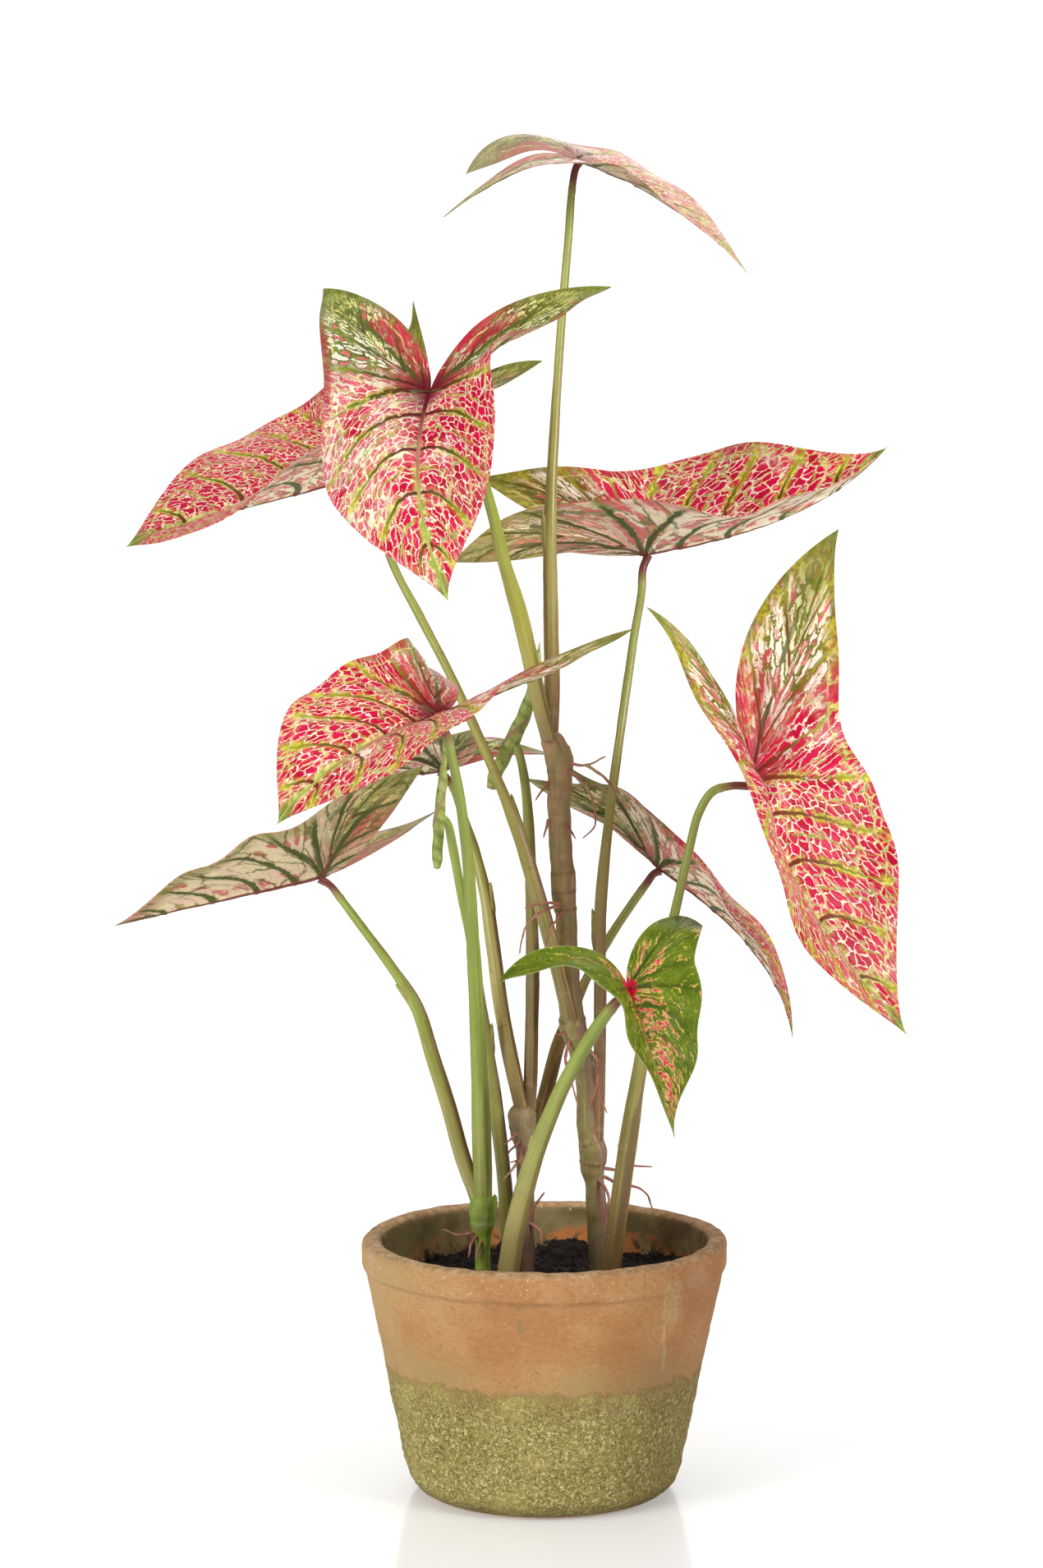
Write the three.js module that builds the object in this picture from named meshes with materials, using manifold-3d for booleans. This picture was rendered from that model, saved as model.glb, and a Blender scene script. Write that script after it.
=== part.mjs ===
// A caladium in a terracotta pot: ten arrow-shaped leaves and two leaves still rolled,
// each on its own stalk, rising from three knuckled canes that stand in the potting soil.
// Millimetres, +Z up, origin in the middle of the pot's underside, front of the plant at -Y.

import * as THREE from 'three';
import { mergeVertices } from 'three/addons/utils/BufferGeometryUtils.js';
import Module from 'manifold-3d';

const wasm = await Module();
wasm.setup();

// ---------------------------------------------------------------- driving dimensions

const POT_HEIGHT = 105;
const POT_RIM_RADIUS = 75;
const POT_BASE_RADIUS = 54;
const POT_WALL = 8.5;
const POT_FLOOR = 9;
const POT_CORNER = 4.5;
const COLLAR_HEIGHT = 12;
const COLLAR_STEP = 1.4;
const COLLAR_BEVEL = 0.8;
const RIM_ROUND = 2;
const FLOOR_ROUND = 5;
const POT_SIDES = 44;

const SOIL_TOP = 86;
const SOIL_LUMP = 1.1;
const SOIL_RINGS = 6;
const SOIL_CLEARANCE = 0.8;
const HOLE_DEPTH = 22;
const HOLE_CLEARANCE = 0.7;
const SEAT_DEPTH = 5;
const STALK_INSET = 2.8;
const STALK_DROP = 0.5;
const STALK_TIP_RADIUS = 1.4;

const GAP = 0.3;
const BLADE_THICKNESS = 0.9;
const STALK_SIDES = 8;
const HOLE_SIDES = 12;
const ROOT_SIDES = 5;
const ROOT_RADIUS = 0.8;
const TUBE_STEP = 13;
const ROOT_STEP = 5;
const ROLLED_STEP = 6;
const TOOTH_SIDES = 6;
const TOOTH_STEP = 6;
const TOOTH_TIP_RADIUS = 0.5;

// A blade's mesh, and the proportions that all the blades share, in blade lengths.
const FRONT_COLUMNS = 9;
const LOBE_COLUMNS = 6;
const BLADE_ROWS = 4;
const BEND_STEPS = 48;
const WIDEST_AT = 0.16;
const VEIN_SLANT = 0.5;
const CURL_RUN = 0.4;
const VEE_RUN = 0.3;
const WAVES_PER_BLADE = 2.4;
const WAVE_SLANT = 0.25;
const WAVE_FADE = 0.25;
const LOBE_WAVE_FADE = 0.6;
// Around the joint the front half of a blade passes into the lobe between these angles.
const LOBE_FROM = 58;
const LOBE_WHOLLY = 118;

const DEG = Math.PI / 180;

// Every leaf: where its blade joins the stalk (at), how the blade points (heading and
// pitch of its midrib, roll about it), its length from the joint to the tip, and, in
// parts of that length, the half-width and the reach of the two back lobes. Angles in
// degrees. droop, sweep and twist bend the midrib down, sideways and about itself. fold
// raises each half from the midrib, at the joint and at the tip, curl rolls it outwards,
// wave ripples its margin. A lobe lifts, swings and twists about its own rib.
const LEAVES = [
  {
    name: 'leaf_1',
    at: [12.9, 14, 543.3], heading: -3, pitch: -19, roll: 14,
    length: 84, width: 0.41, fullness: 1.2, lobe: 0.82, spread: 59, vee: 0,
    droop: [24, 9], sweep: 1, twist: 12,
    left: { fold: [5, 21], curl: -22, wave: 0.031, phase: -0.42,
      lobe: { reach: 0.96, lift: -73, swing: -65, twist: 87 } },
    right: { fold: [2, 14], curl: 31, wave: 0.018, phase: 0.31,
      lobe: { reach: 1.02, lift: -68, swing: -32, twist: 37 } },
  },
  {
    name: 'leaf_2',
    at: [-45.1, -47, 448.8], heading: -107, pitch: -45, roll: 11,
    length: 98, width: 0.44, fullness: 2.2, lobe: 0.88, spread: 51, vee: 17,
    droop: [13, 29], sweep: 24, twist: -23,
    left: { fold: [14, -4], curl: 38, wave: 0.023, phase: -0.15,
      lobe: { reach: 1.02, lift: -41, swing: -21, twist: -22 } },
    right: { fold: [31, 6], curl: -51, wave: 0.021, phase: 0.65,
      lobe: { reach: 0.99, lift: -32, swing: -19, twist: -30 } },
  },
  {
    name: 'leaf_3',
    at: [-70.4, 35, 417.4], heading: 196, pitch: -18, roll: -16,
    length: 107, width: 0.54, fullness: 3.1, lobe: 0.78, spread: 44, vee: 15,
    droop: [-15, 28], sweep: -19, twist: -10,
    left: { fold: [53, 12], curl: -6, wave: 0.021, phase: 0.07,
      lobe: { reach: 1.02, lift: 9, swing: -57, twist: -102 } },
    right: { fold: [29, 17], curl: -25, wave: 0.016, phase: 0.3,
      lobe: { reach: 0.93, lift: 66, swing: 24, twist: 31 } },
  },
  {
    name: 'leaf_4',
    at: [41.4, 37, 383.3], heading: 5, pitch: 10, roll: 9,
    length: 113, width: 0.41, fullness: 2.5, lobe: 0.78, spread: 54, vee: 24,
    droop: [-3, -36], sweep: 4, twist: 37,
    left: { fold: [33, 44], curl: -14, wave: 0.011, phase: -0.4,
      lobe: { reach: 0.94, lift: 9, swing: -27, twist: 23 } },
    right: { fold: [33, 60], curl: -12, wave: 0.023, phase: -0.29,
      lobe: { reach: 1.02, lift: 10, swing: -112, twist: 70 } },
  },
  {
    name: 'leaf_5',
    at: [82, -27, 294.6], heading: -3, pitch: -73, roll: 12,
    length: 120, width: 0.46, fullness: 2.3, lobe: 0.86, spread: 42, vee: -14,
    droop: [-40, 15], sweep: 3, twist: 19,
    left: { fold: [23, 27], curl: 31, wave: 0.014, phase: -0.29,
      lobe: { reach: 1.08, lift: 42, swing: -18, twist: 77 } },
    right: { fold: [29, 14], curl: -18, wave: 0.015, phase: 0.21,
      lobe: { reach: 0.91, lift: -46, swing: -54, twist: -53 } },
  },
  {
    name: 'leaf_6',
    at: [-42.1, -60, 323.3], heading: -132, pitch: -10, roll: -14,
    length: 90, width: 0.42, fullness: 3, lobe: 0.87, spread: 42, vee: 10,
    droop: [12, 30], sweep: -4, twist: -5,
    left: { fold: [31, 7], curl: 0, wave: 0.015, phase: 0.09,
      lobe: { reach: 1.1, lift: 10, swing: -18, twist: -20 } },
    right: { fold: [20, 12], curl: 1, wave: 0.023, phase: -0.37,
      lobe: { reach: 0.89, lift: -35, swing: 32, twist: 79 } },
  },
  {
    name: 'leaf_7',
    at: [-90.8, 10, 252.5], heading: 175, pitch: -16, roll: 17,
    length: 89, width: 0.37, fullness: 2.3, lobe: 0.76, spread: 54, vee: 4,
    droop: [-12, 13], sweep: 3, twist: 6,
    left: { fold: [30, 16], curl: -7, wave: 0.03, phase: -0.49,
      lobe: { reach: 1.01, lift: 20, swing: -53, twist: 10 } },
    right: { fold: [27, 12], curl: -6, wave: 0.022, phase: 0.28,
      lobe: { reach: 0.93, lift: 8, swing: -36, twist: -11 } },
  },
  {
    name: 'leaf_8',
    at: [-42.2, 50, 292.5], heading: 158, pitch: -8, roll: 0,
    length: 72, width: 0.4, fullness: 2.4, lobe: 0.8, spread: 52, vee: 8,
    droop: [8, 6], sweep: 0, twist: 0,
    left: { fold: [22, 12], curl: -6, wave: 0.02, phase: 0.1,
      lobe: { reach: 0.85, lift: 10, swing: -10, twist: 20 } },
    right: { fold: [22, 12], curl: -6, wave: 0.02, phase: 0.4,
      lobe: { reach: 1, lift: -48, swing: 0, twist: 10 } },
  },
  {
    name: 'leaf_9',
    at: [47.7, 30, 253.8], heading: -11, pitch: -34, roll: -10,
    length: 92, width: 0.39, fullness: 2.1, lobe: 0.76, spread: 41, vee: 18,
    droop: [7, 40], sweep: 0, twist: 8,
    left: { fold: [20, 12], curl: -8, wave: 0.017, phase: -0.27,
      lobe: { reach: 0.95, lift: 7, swing: -42, twist: 5 } },
    right: { fold: [19, 8], curl: -3, wave: 0.028, phase: 0.56,
      lobe: { reach: 1, lift: -19, swing: -60, twist: 41 } },
  },
  {
    name: 'leaf_10',
    at: [32.2, -75, 218.1], heading: -60, pitch: -54, roll: -14,
    length: 63, width: 0.41, fullness: 2.2, lobe: 0.93, spread: 49, vee: 10,
    droop: [5, 1], sweep: 1, twist: -28,
    left: { fold: [60, -1], curl: -19, wave: 0.037, phase: -0.27,
      lobe: { reach: 1.04, lift: -90, swing: -7, twist: -21 } },
    right: { fold: [22, 7], curl: 6, wave: 0.039, phase: 0.41,
      lobe: { reach: 1.01, lift: -115, swing: 31, twist: 26 } },
  },
];

// Stalks and canes: points down the middle with the radius at each, from the bottom up.
const CANES = {
  cane_a: [
    [-25, -15, 89.2, 3.7], [-25, -15, 102.8, 3.3], [-25, -15, 109.6, 3.3], [-25, -15, 115, 5],
    [-25, -15, 120.4, 5.2], [-25.3, -15, 124.5, 4],
  ],
  cane_b: [
    [-7.3, 0, 85.9, 4.1], [-7.6, 0, 99.6, 3.7], [-7.6, 0, 126.9, 3.5], [-7.6, 0, 140.6, 4],
    [-8.6, 0, 148.1, 5.4], [-9, 0, 154.9, 5.9], [-8.6, 0, 160.3, 5],
  ],
  cane_c: [
    [23.2, 6, 84.5, 4.7], [22.5, 6, 101.7, 4.4], [20.8, 5, 125.9, 4.1], [20.1, 5, 132.1, 5.1],
    [20, 4, 139.8, 5.7], [18, 4, 147.3, 4.4], [17, 3, 167.3, 4], [14.6, 2, 182.8, 4.7],
    [11.8, 1, 191.4, 5.5], [11.2, 0, 197.6, 5], [9.5, 0, 215.2, 4.7], [8.8, 0, 238.9, 4.3],
    [8.1, 0, 245.6, 5], [7.7, 0, 251.7, 5.2], [7.1, 0, 260.7, 4.7], [6, -1, 281, 4.7],
    [6.4, -1, 294.4, 5], [6, -1, 301.1, 5.7], [3.7, -2, 307.8, 5], [1.7, -3, 312.9, 4.7],
  ],
};

const STALKS = {
  stalk_1: [
    [2.3, -2, 316.2, 3.5], [3, -4, 329.6, 3.2], [2.6, -7, 356.4, 3], [2.2, -9, 396, 2.6],
    [3.6, -4, 428.8, 2], [6.6, 5, 475, 1.7], [9.6, 11, 511.4, 1.7], [11.3, 14, 532.9, 1.5],
    [12.6, 14, 539.4, 1.5],
  ],
  stalk_2: [
    [0.3, -8, 315.3, 3.1], [-2.7, -12, 326.9, 3.1], [-6, -16, 343.6, 3.3], [-10.3, -20, 361.9, 3.3],
    [-16.5, -26, 383.4, 2.6], [-20.7, -31, 401.4, 2.3], [-27.1, -38, 422.5, 1.8], [-34.7, -43, 438.6, 1.6],
    [-41.4, -46, 445.6, 1.5],
  ],
  stalk_3: [
    [9.1, -7, 202.1, 3.3], [3, -10, 226.7, 3.2], [-3.7, -10, 250.2, 3], [-11, -8, 273.3, 2.8],
    [-18.9, -4, 293, 2], [-30, 6, 317.2, 2], [-39.5, 14, 336.8, 1.8], [-51.1, 22, 358.3, 1.9],
    [-61.7, 28, 378.2, 1.7], [-67.9, 33, 396.7, 1.6], [-69.9, 35, 410.1, 1.6],
  ],
  stalk_4: [
    [21.7, 3, 144.1, 2.7], [22.3, 3, 163.9, 2.7], [22.6, 2, 201.4, 2.7], [22.8, 0, 238.9, 2.5],
    [26.1, 0, 275.9, 2], [31.5, 7, 315.5, 1.8], [36.9, 22, 349.8, 1.7], [40.2, 32, 367.9, 1.6],
    [40.9, 36, 377.3, 1.6],
  ],
  stalk_5: [
    [26, -19, 90.1, 4], [28.3, -20, 107.2, 3.8], [33.2, -22, 144.7, 3.6], [39, -24, 181.9, 3],
    [45, -27, 212.4, 2.3], [52.1, -29, 242.5, 2], [57.2, -30, 265.7, 1.8], [61.4, -30, 282.2, 1.8],
    [66.9, -30, 290.8, 1.7], [74.2, -29, 293, 1.6],
  ],
  stalk_6: [
    [-25, -15, 127.9, 3.7], [-25.6, -17, 147.1, 3.7], [-26.5, -22, 181.6, 3.3], [-27.7, -27, 212.4, 3],
    [-29, -33, 236.4, 2.6], [-30.5, -40, 263.6, 2.3], [-33.2, -48, 287.3, 2.1], [-36, -54, 304, 1.9],
    [-38.8, -58, 315.6, 1.8],
  ],
  stalk_7: [
    [-28.3, -13, 126.1, 3.3], [-33.7, -12, 141.1, 3.3], [-38.7, -10, 159.4, 3.2], [-45.1, -7, 179.1, 3],
    [-52.1, -4, 200.6, 2.7], [-62.9, 0, 216.9, 2], [-74.7, 4, 232.3, 1.8], [-83.6, 8, 243.6, 1.7],
    [-87.7, 10, 248.5, 1.5],
  ],
  stalk_8: [
    [-10.3, -1, 162.9, 3], [-13.7, 1, 177.8, 3.2], [-17.7, 4, 199.4, 3], [-21.1, 8, 224.3, 2.9],
    [-24.1, 13, 244, 2.5], [-28.2, 20, 260.2, 2.2], [-32.8, 29, 272.9, 1.9], [-37.4, 42, 284.7, 1.7],
    [-40.3, 49, 288.8, 1.6],
  ],
  stalk_9: [
    [-5.9, 3, 142.7, 2.7], [-3.6, 7, 146.8, 2.7], [-0.2, 13, 158.7, 2.9], [5.7, 20, 179.8, 2.9],
    [12.2, 24, 195.4, 2.4], [18, 26, 208.1, 2], [27.2, 29, 224.2, 1.9], [36, 30, 237.5, 1.8],
    [42.8, 30, 247.1, 1.7], [45.6, 30, 250.9, 1.6],
  ],
  stalk_10: [
    [-13.6, -27, 91.9, 5.3], [-11.6, -28, 108.9, 5.1], [-7.6, -31, 129.7, 4.3], [-1.7, -36, 150.7, 3.6],
    [5.4, -44, 170.4, 3.1], [12.8, -52, 186.6, 2.8], [20, -61, 200.4, 2.6], [26.3, -69, 210.4, 2.2],
    [29.7, -73, 214.6, 1.6],
  ],
  stalk_rolled_1: [
    [-13.7, 9, 83.8, 3.4], [-14.4, 8, 104.7, 3.4], [-17.1, 5, 136.2, 3.2], [-20.1, 1, 160.8, 3.2],
    [-23.4, -4, 185.4, 2.5], [-26.3, -9, 206.4, 2], [-30.2, -14, 230.6, 1.8], [-33.7, -20, 249.7, 1.8],
    [-36.9, -26, 268.6, 1.8], [-38.7, -31, 278, 1.6], [-41, -35, 281.4, 1.5],
  ],
  stalk_rolled_2: [
    [-5.9, 1, 162.5, 2.7], [-5.3, 4, 187.5, 2.7], [-4.9, 7, 214.3, 2.7], [-5.3, 9, 244.5, 2.5],
    [-6.3, 9, 271.6, 2.2], [-7.6, 9, 288.4, 2], [-9.6, 8, 300.3, 1.8], [-11.6, 8, 306.7, 1.7],
  ],
};

// Leaves that are still rolled, from the blunt lobe end to the sharp tip.
const ROLLED = {
  rolled_1: [
    [-42.9, -36, 260.8, 1.3], [-42.9, -36, 264.8, 2.1], [-42.3, -35, 276.1, 2.3], [-41, -33, 292.3, 2],
    [-40, -32, 305.4, 1.1], [-40.3, -32, 313.6, 0.3],
  ],
  rolled_2: [
    [-21.7, 12, 288.1, 2], [-20.4, 12, 293.2, 2.9], [-16.3, 10, 301.8, 3], [-12.7, 9, 308.6, 3.2],
    [-8.3, 8, 318.1, 3], [-5, 8, 328.8, 2.3], [-2.9, 9, 338.8, 1.7], [-1.9, 10, 347.8, 0.3],
  ],
};

// Aerial roots, from inside the cane that bears them to their tips.
const ROOTS = {
  cane_c: [
    [[8.3, -3, 300.2], [17.2, -8, 299.7], [24.8, -12, 303.3]],
    [[16.6, -8, 299.7], [23.8, -11, 295.3], [30.4, -15, 284.7]],
    [[8.3, -4, 297.7], [16.2, -10, 291.9], [20.5, -13, 282.2], [20.2, -13, 275.5], [15.2, -11, 270]],
    [[1.7, -3, 292.2], [-3.7, -7, 284.9]],
    [[1.7, -3, 276.8], [-0.7, -7, 269.2]],
    [[7.7, -4, 276.9], [12.9, -9, 269.4]],
    [[6.4, -4, 241.7], [1.6, -14, 242], [-3.4, -19, 239.9], [-7.6, -20, 234.7], [-10.3, -21, 223.9]],
    [[7, -4, 242.7], [-1, -18, 244.5], [-8.6, -20, 243]],
    [[7.1, -4, 239.4], [3.6, -15, 235.7], [0.3, -18, 227.1]],
    [[10.5, -2, 187.1], [8.7, -7, 179.1], [11.4, -8, 169.2], [13.8, -9, 160.2]],
    [[10.5, -2, 189.2], [4.1, -6, 189.4]],
    [[16.5, 0, 183.4], [21.5, -5, 178.8], [21.8, -6, 167.1], [25.5, -8, 157]],
    [[21.5, -6, 168.1], [18.8, -8, 158.3]],
    [[22.1, 4, 133], [30.3, 8, 130.8], [36.4, 10, 132.2], [45, 12, 131.4]],
    [[22.1, 4, 130.2], [29.6, 7, 125.5], [41.5, 10, 121.5], [45.4, 12, 111.5]],
    [[22.1, 2, 128.6], [26.3, -3, 122.4], [25.3, -5, 110.9]],
  ],
  cane_b: [
    [[-9.6, -3, 150], [-16.7, -8, 143.8]],
    [[-9, -3, 146.6], [-15.3, -8, 139.4]],
    [[-8.3, -3, 137.1], [-15, -9, 136.8]],
    [[-8.3, -3, 139.1], [-13.7, -9, 133.5], [-17.7, -11, 129.1]],
    [[-8.3, -3, 146.6], [-9.6, -7, 138.5], [-7.6, -8, 130.2]],
    [[-6.9, -2, 112.3], [-2.3, -7, 121.5], [0.4, -9, 125.3]],
    [[-6.9, -2, 110.9], [-1.9, -6, 108.4], [-0.9, -8, 103]],
  ],
  cane_a: [
    [[-25.7, -16, 110.5], [-34.3, -19, 109.1], [-41.5, -22, 112.1]],
    [[-25.7, -16, 109.8], [-29.6, -20, 105.9], [-30.9, -22, 100.2]],
    [[-25, -16, 108.1], [-26.9, -20, 103.9], [-28.3, -21, 99.3]],
  ],
};

// The canes and stalks that stand in the soil.
const IN_SOIL = ['cane_a', 'cane_b', 'cane_c', 'stalk_5', 'stalk_10', 'stalk_rolled_1'];

// What each other stalk grows from, or lies against, low down; it is shaped to fit those.
const STALK_SEATS = {
  stalk_1: ['cane_c'],
  stalk_2: ['cane_c', 'stalk_1'],
  stalk_3: ['cane_c'],
  stalk_4: ['cane_c'],
  stalk_5: [],
  stalk_6: ['cane_a', 'stalk_7'],
  stalk_7: ['cane_a'],
  stalk_8: ['cane_b'],
  stalk_9: ['cane_b'],
  stalk_10: [],
  stalk_rolled_1: [],
  stalk_rolled_2: ['cane_b', 'stalk_8'],
};

// Stalks whose foot is a sheath that ends in a small free tooth: height of the tooth,
// its direction round the stalk, and how long it is.
const SHEATH_TEETH = {
  stalk_1: { height: 398, toward: 195, length: 9 },
  stalk_3: { height: 283, toward: 10, length: 10 },
  stalk_4: { height: 236, toward: 180, length: 9 },
  stalk_7: { height: 207, toward: 190, length: 7 },
  stalk_8: { height: 246, toward: -15, length: 8 },
  stalk_rolled_1: { height: 190, toward: -5, length: 8 },
};

// ---------------------------------------------------------------- solids

// The closed mesh of a geometry, as a solid that can be joined and cut.
function solidOf(geometry) {
  const bare = geometry.clone();
  bare.deleteAttribute('normal');
  bare.deleteAttribute('uv');
  const merged = mergeVertices(bare, 1e-5);
  return new wasm.Manifold(new wasm.Mesh({
    numProp: 3,
    vertProperties: new Float32Array(merged.attributes.position.array),
    triVerts: new Uint32Array(merged.index.array),
  }));
}

function geometryOf(solid) {
  const mesh = solid.getMesh();
  const geometry = new THREE.BufferGeometry();
  geometry.setAttribute('position', new THREE.BufferAttribute(mesh.vertProperties, 3));
  geometry.setIndex(new THREE.BufferAttribute(mesh.triVerts, 1));
  geometry.computeVertexNormals();
  return geometry;
}

function largestPiece(solid) {
  return solid.decompose().reduce((a, b) => (b.volume() > a.volume() ? b : a));
}

function indexedGeometry(points, triangles) {
  const geometry = new THREE.BufferGeometry();
  const numbers = points.flatMap((p) => [p.x, p.y, p.z]);
  geometry.setAttribute('position', new THREE.Float32BufferAttribute(numbers, 3));
  geometry.setIndex(triangles.flat());
  return geometry;
}

// ---------------------------------------------------------------- tubes

// Points and radii along a smooth curve through a route of [x, y, z, radius].
function sampleRoute(route, step) {
  const knots = route.map(([x, y, z]) => new THREE.Vector3(x, y, z));
  const curve = new THREE.CatmullRomCurve3(knots, false, 'centripetal');
  const spans = route.length - 1;
  const samples = [];
  for (let span = 0; span < spans; span += 1) {
    const pieces = Math.max(1, Math.round(knots[span].distanceTo(knots[span + 1]) / step));
    for (let piece = 0; piece < pieces; piece += 1) {
      const t = piece / pieces;
      const radius = THREE.MathUtils.lerp(route[span][3], route[span + 1][3], t);
      samples.push({ point: curve.getPoint((span + t) / spans), radius });
    }
  }
  samples.push({ point: curve.getPoint(1), radius: route[spans][3] });
  samples.forEach((sample, i) => {
    const before = samples[Math.max(0, i - 1)].point;
    const after = samples[Math.min(samples.length - 1, i + 1)].point;
    sample.tangent = after.clone().sub(before).normalize();
  });
  return samples;
}

// A closed round tube along a route, fattened all round and at both ends by a clearance.
function tubeGeometry(route, sides = STALK_SIDES, step = TUBE_STEP, clearance = 0) {
  const samples = sampleRoute(route, step);
  samples[0].point.addScaledVector(samples[0].tangent, -clearance);
  samples.at(-1).point.addScaledVector(samples.at(-1).tangent, clearance);
  const points = [];
  const triangles = [];
  let across = new THREE.Vector3(1, 0, 0);
  samples.forEach(({ point, radius, tangent }) => {
    across = across.clone().addScaledVector(tangent, -across.dot(tangent)).normalize();
    const up = tangent.clone().cross(across);
    for (let side = 0; side < sides; side += 1) {
      const angle = (2 * Math.PI * side) / sides;
      const out = across.clone().multiplyScalar(Math.cos(angle)).addScaledVector(up, Math.sin(angle));
      points.push(point.clone().addScaledVector(out, radius + clearance));
    }
  });
  for (let ring = 0; ring + 1 < samples.length; ring += 1) {
    for (let side = 0; side < sides; side += 1) {
      const a = ring * sides + side;
      const b = ring * sides + ((side + 1) % sides);
      triangles.push([a, b, b + sides], [a, b + sides, a + sides]);
    }
  }
  const last = (samples.length - 1) * sides;
  for (let side = 1; side + 1 < sides; side += 1) {
    triangles.push([0, side + 1, side], [last, last + side, last + side + 1]);
  }
  return indexedGeometry(points, triangles);
}

// ---------------------------------------------------------------- leaf blades

// Outline of half a blade laid flat, in lengths of the blade, x along the midrib and u
// out from it. The front margin runs from the widest place to the drawn-out tip.
function frontMargin(leaf, t) {
  return [WIDEST_AT + (1 - WIDEST_AT) * t, leaf.width * (1 - t ** leaf.fullness) ** 1.5];
}

function lobeTip(leaf, half) {
  const reach = leaf.lobe * half.lobe.reach;
  return [-reach * Math.cos(leaf.spread * DEG), reach * Math.sin(leaf.spread * DEG)];
}

function bezier(a, b, c, d, t) {
  const s = 1 - t;
  return [0, 1].map((k) => s ** 3 * a[k] + 3 * s * s * t * b[k] + 3 * s * t * t * c[k] + t ** 3 * d[k]);
}

// The back lobe's margins, from the front margin's start and from the joint to its tip.
function lobeMargins(leaf, half, t) {
  const [x, u] = lobeTip(leaf, half);
  const reach = leaf.lobe * half.lobe.reach;
  const outer = bezier([WIDEST_AT, leaf.width], [-0.04, leaf.width], [x + 0.2, u - 0.1], [x, u], t);
  const inner = bezier([0, 0], [-0.2, 0], [x + 0.1 * reach, u - 0.42 * reach], [x, u], t);
  return { outer, inner };
}

const lerpPair = (a, b, t) => [a[0] + (b[0] - a[0]) * t, a[1] + (b[1] - a[1]) * t];
const smooth = (t) => t * t * (3 - 2 * t);
const clamp = THREE.MathUtils.clamp;

// Where a direction turning along the way has led after a distance s.
function walk(directionAt, s) {
  const steps = Math.max(1, Math.ceil(Math.abs(s) * BEND_STEPS));
  const place = new THREE.Vector3();
  for (let i = 0; i < steps; i += 1) {
    place.addScaledVector(directionAt((s * (i + 0.5)) / steps), s / steps);
  }
  return place;
}

// A strip that leaves the rib at an angle and curls at an even rate: out and up from it.
function curlOut(u, angle, rate) {
  const k = Math.abs(rate) < 1e-5 ? 1e-5 : rate;
  return [(Math.sin(angle + k * u) - Math.sin(angle)) / k, (Math.cos(angle) - Math.cos(angle + k * u)) / k];
}

// The midrib's forward, left and upward directions at x along it.
function ribFrame(leaf, x) {
  const down = (leaf.droop[0] * x + leaf.droop[1] * x * x) * DEG;
  const turn = leaf.sweep * x * DEG;
  const twist = leaf.twist * x * DEG;
  const forward = new THREE.Vector3(Math.cos(turn), Math.sin(turn), -Math.tan(down)).normalize();
  const level = new THREE.Vector3(-Math.sin(turn), Math.cos(turn), 0);
  const left = level.clone().applyAxisAngle(forward, twist);
  return { forward, left, up: forward.clone().cross(left) };
}

// The lobe's rib: its direction, the direction across it and the blade's upward side.
function lobeFrame(leaf, half, side, along) {
  const spread = leaf.spread * DEG;
  const raised = half.fold[0] * DEG;
  const out = new THREE.Vector3(0, side * Math.cos(raised), Math.sin(raised));
  const back = new THREE.Vector3(-1, 0, 0);
  const rib = back.clone().multiplyScalar(Math.cos(spread)).addScaledVector(out, Math.sin(spread));
  const across = back.clone().multiplyScalar(-Math.sin(spread)).addScaledVector(out, Math.cos(spread));
  const up = rib.clone().cross(across).multiplyScalar(-side);
  const lift = half.lobe.lift * along * DEG;
  const swing = half.lobe.swing * along * DEG;
  const ribHere = rib.clone().multiplyScalar(Math.cos(lift) * Math.cos(swing))
    .addScaledVector(across, Math.cos(lift) * Math.sin(swing)).addScaledVector(up, Math.sin(lift));
  const acrossHere = rib.clone().multiplyScalar(-Math.sin(swing)).addScaledVector(across, Math.cos(swing));
  const upHere = ribHere.clone().cross(acrossHere).multiplyScalar(-side);
  const twist = half.lobe.twist * Math.max(0, along) ** 1.3 * DEG;
  return {
    rib: ribHere,
    across: acrossHere.clone().multiplyScalar(Math.cos(twist)).addScaledVector(upHere, Math.sin(twist)),
    up: upHere.clone().multiplyScalar(Math.cos(twist)).addScaledVector(acrossHere, -Math.sin(twist)),
  };
}

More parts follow.
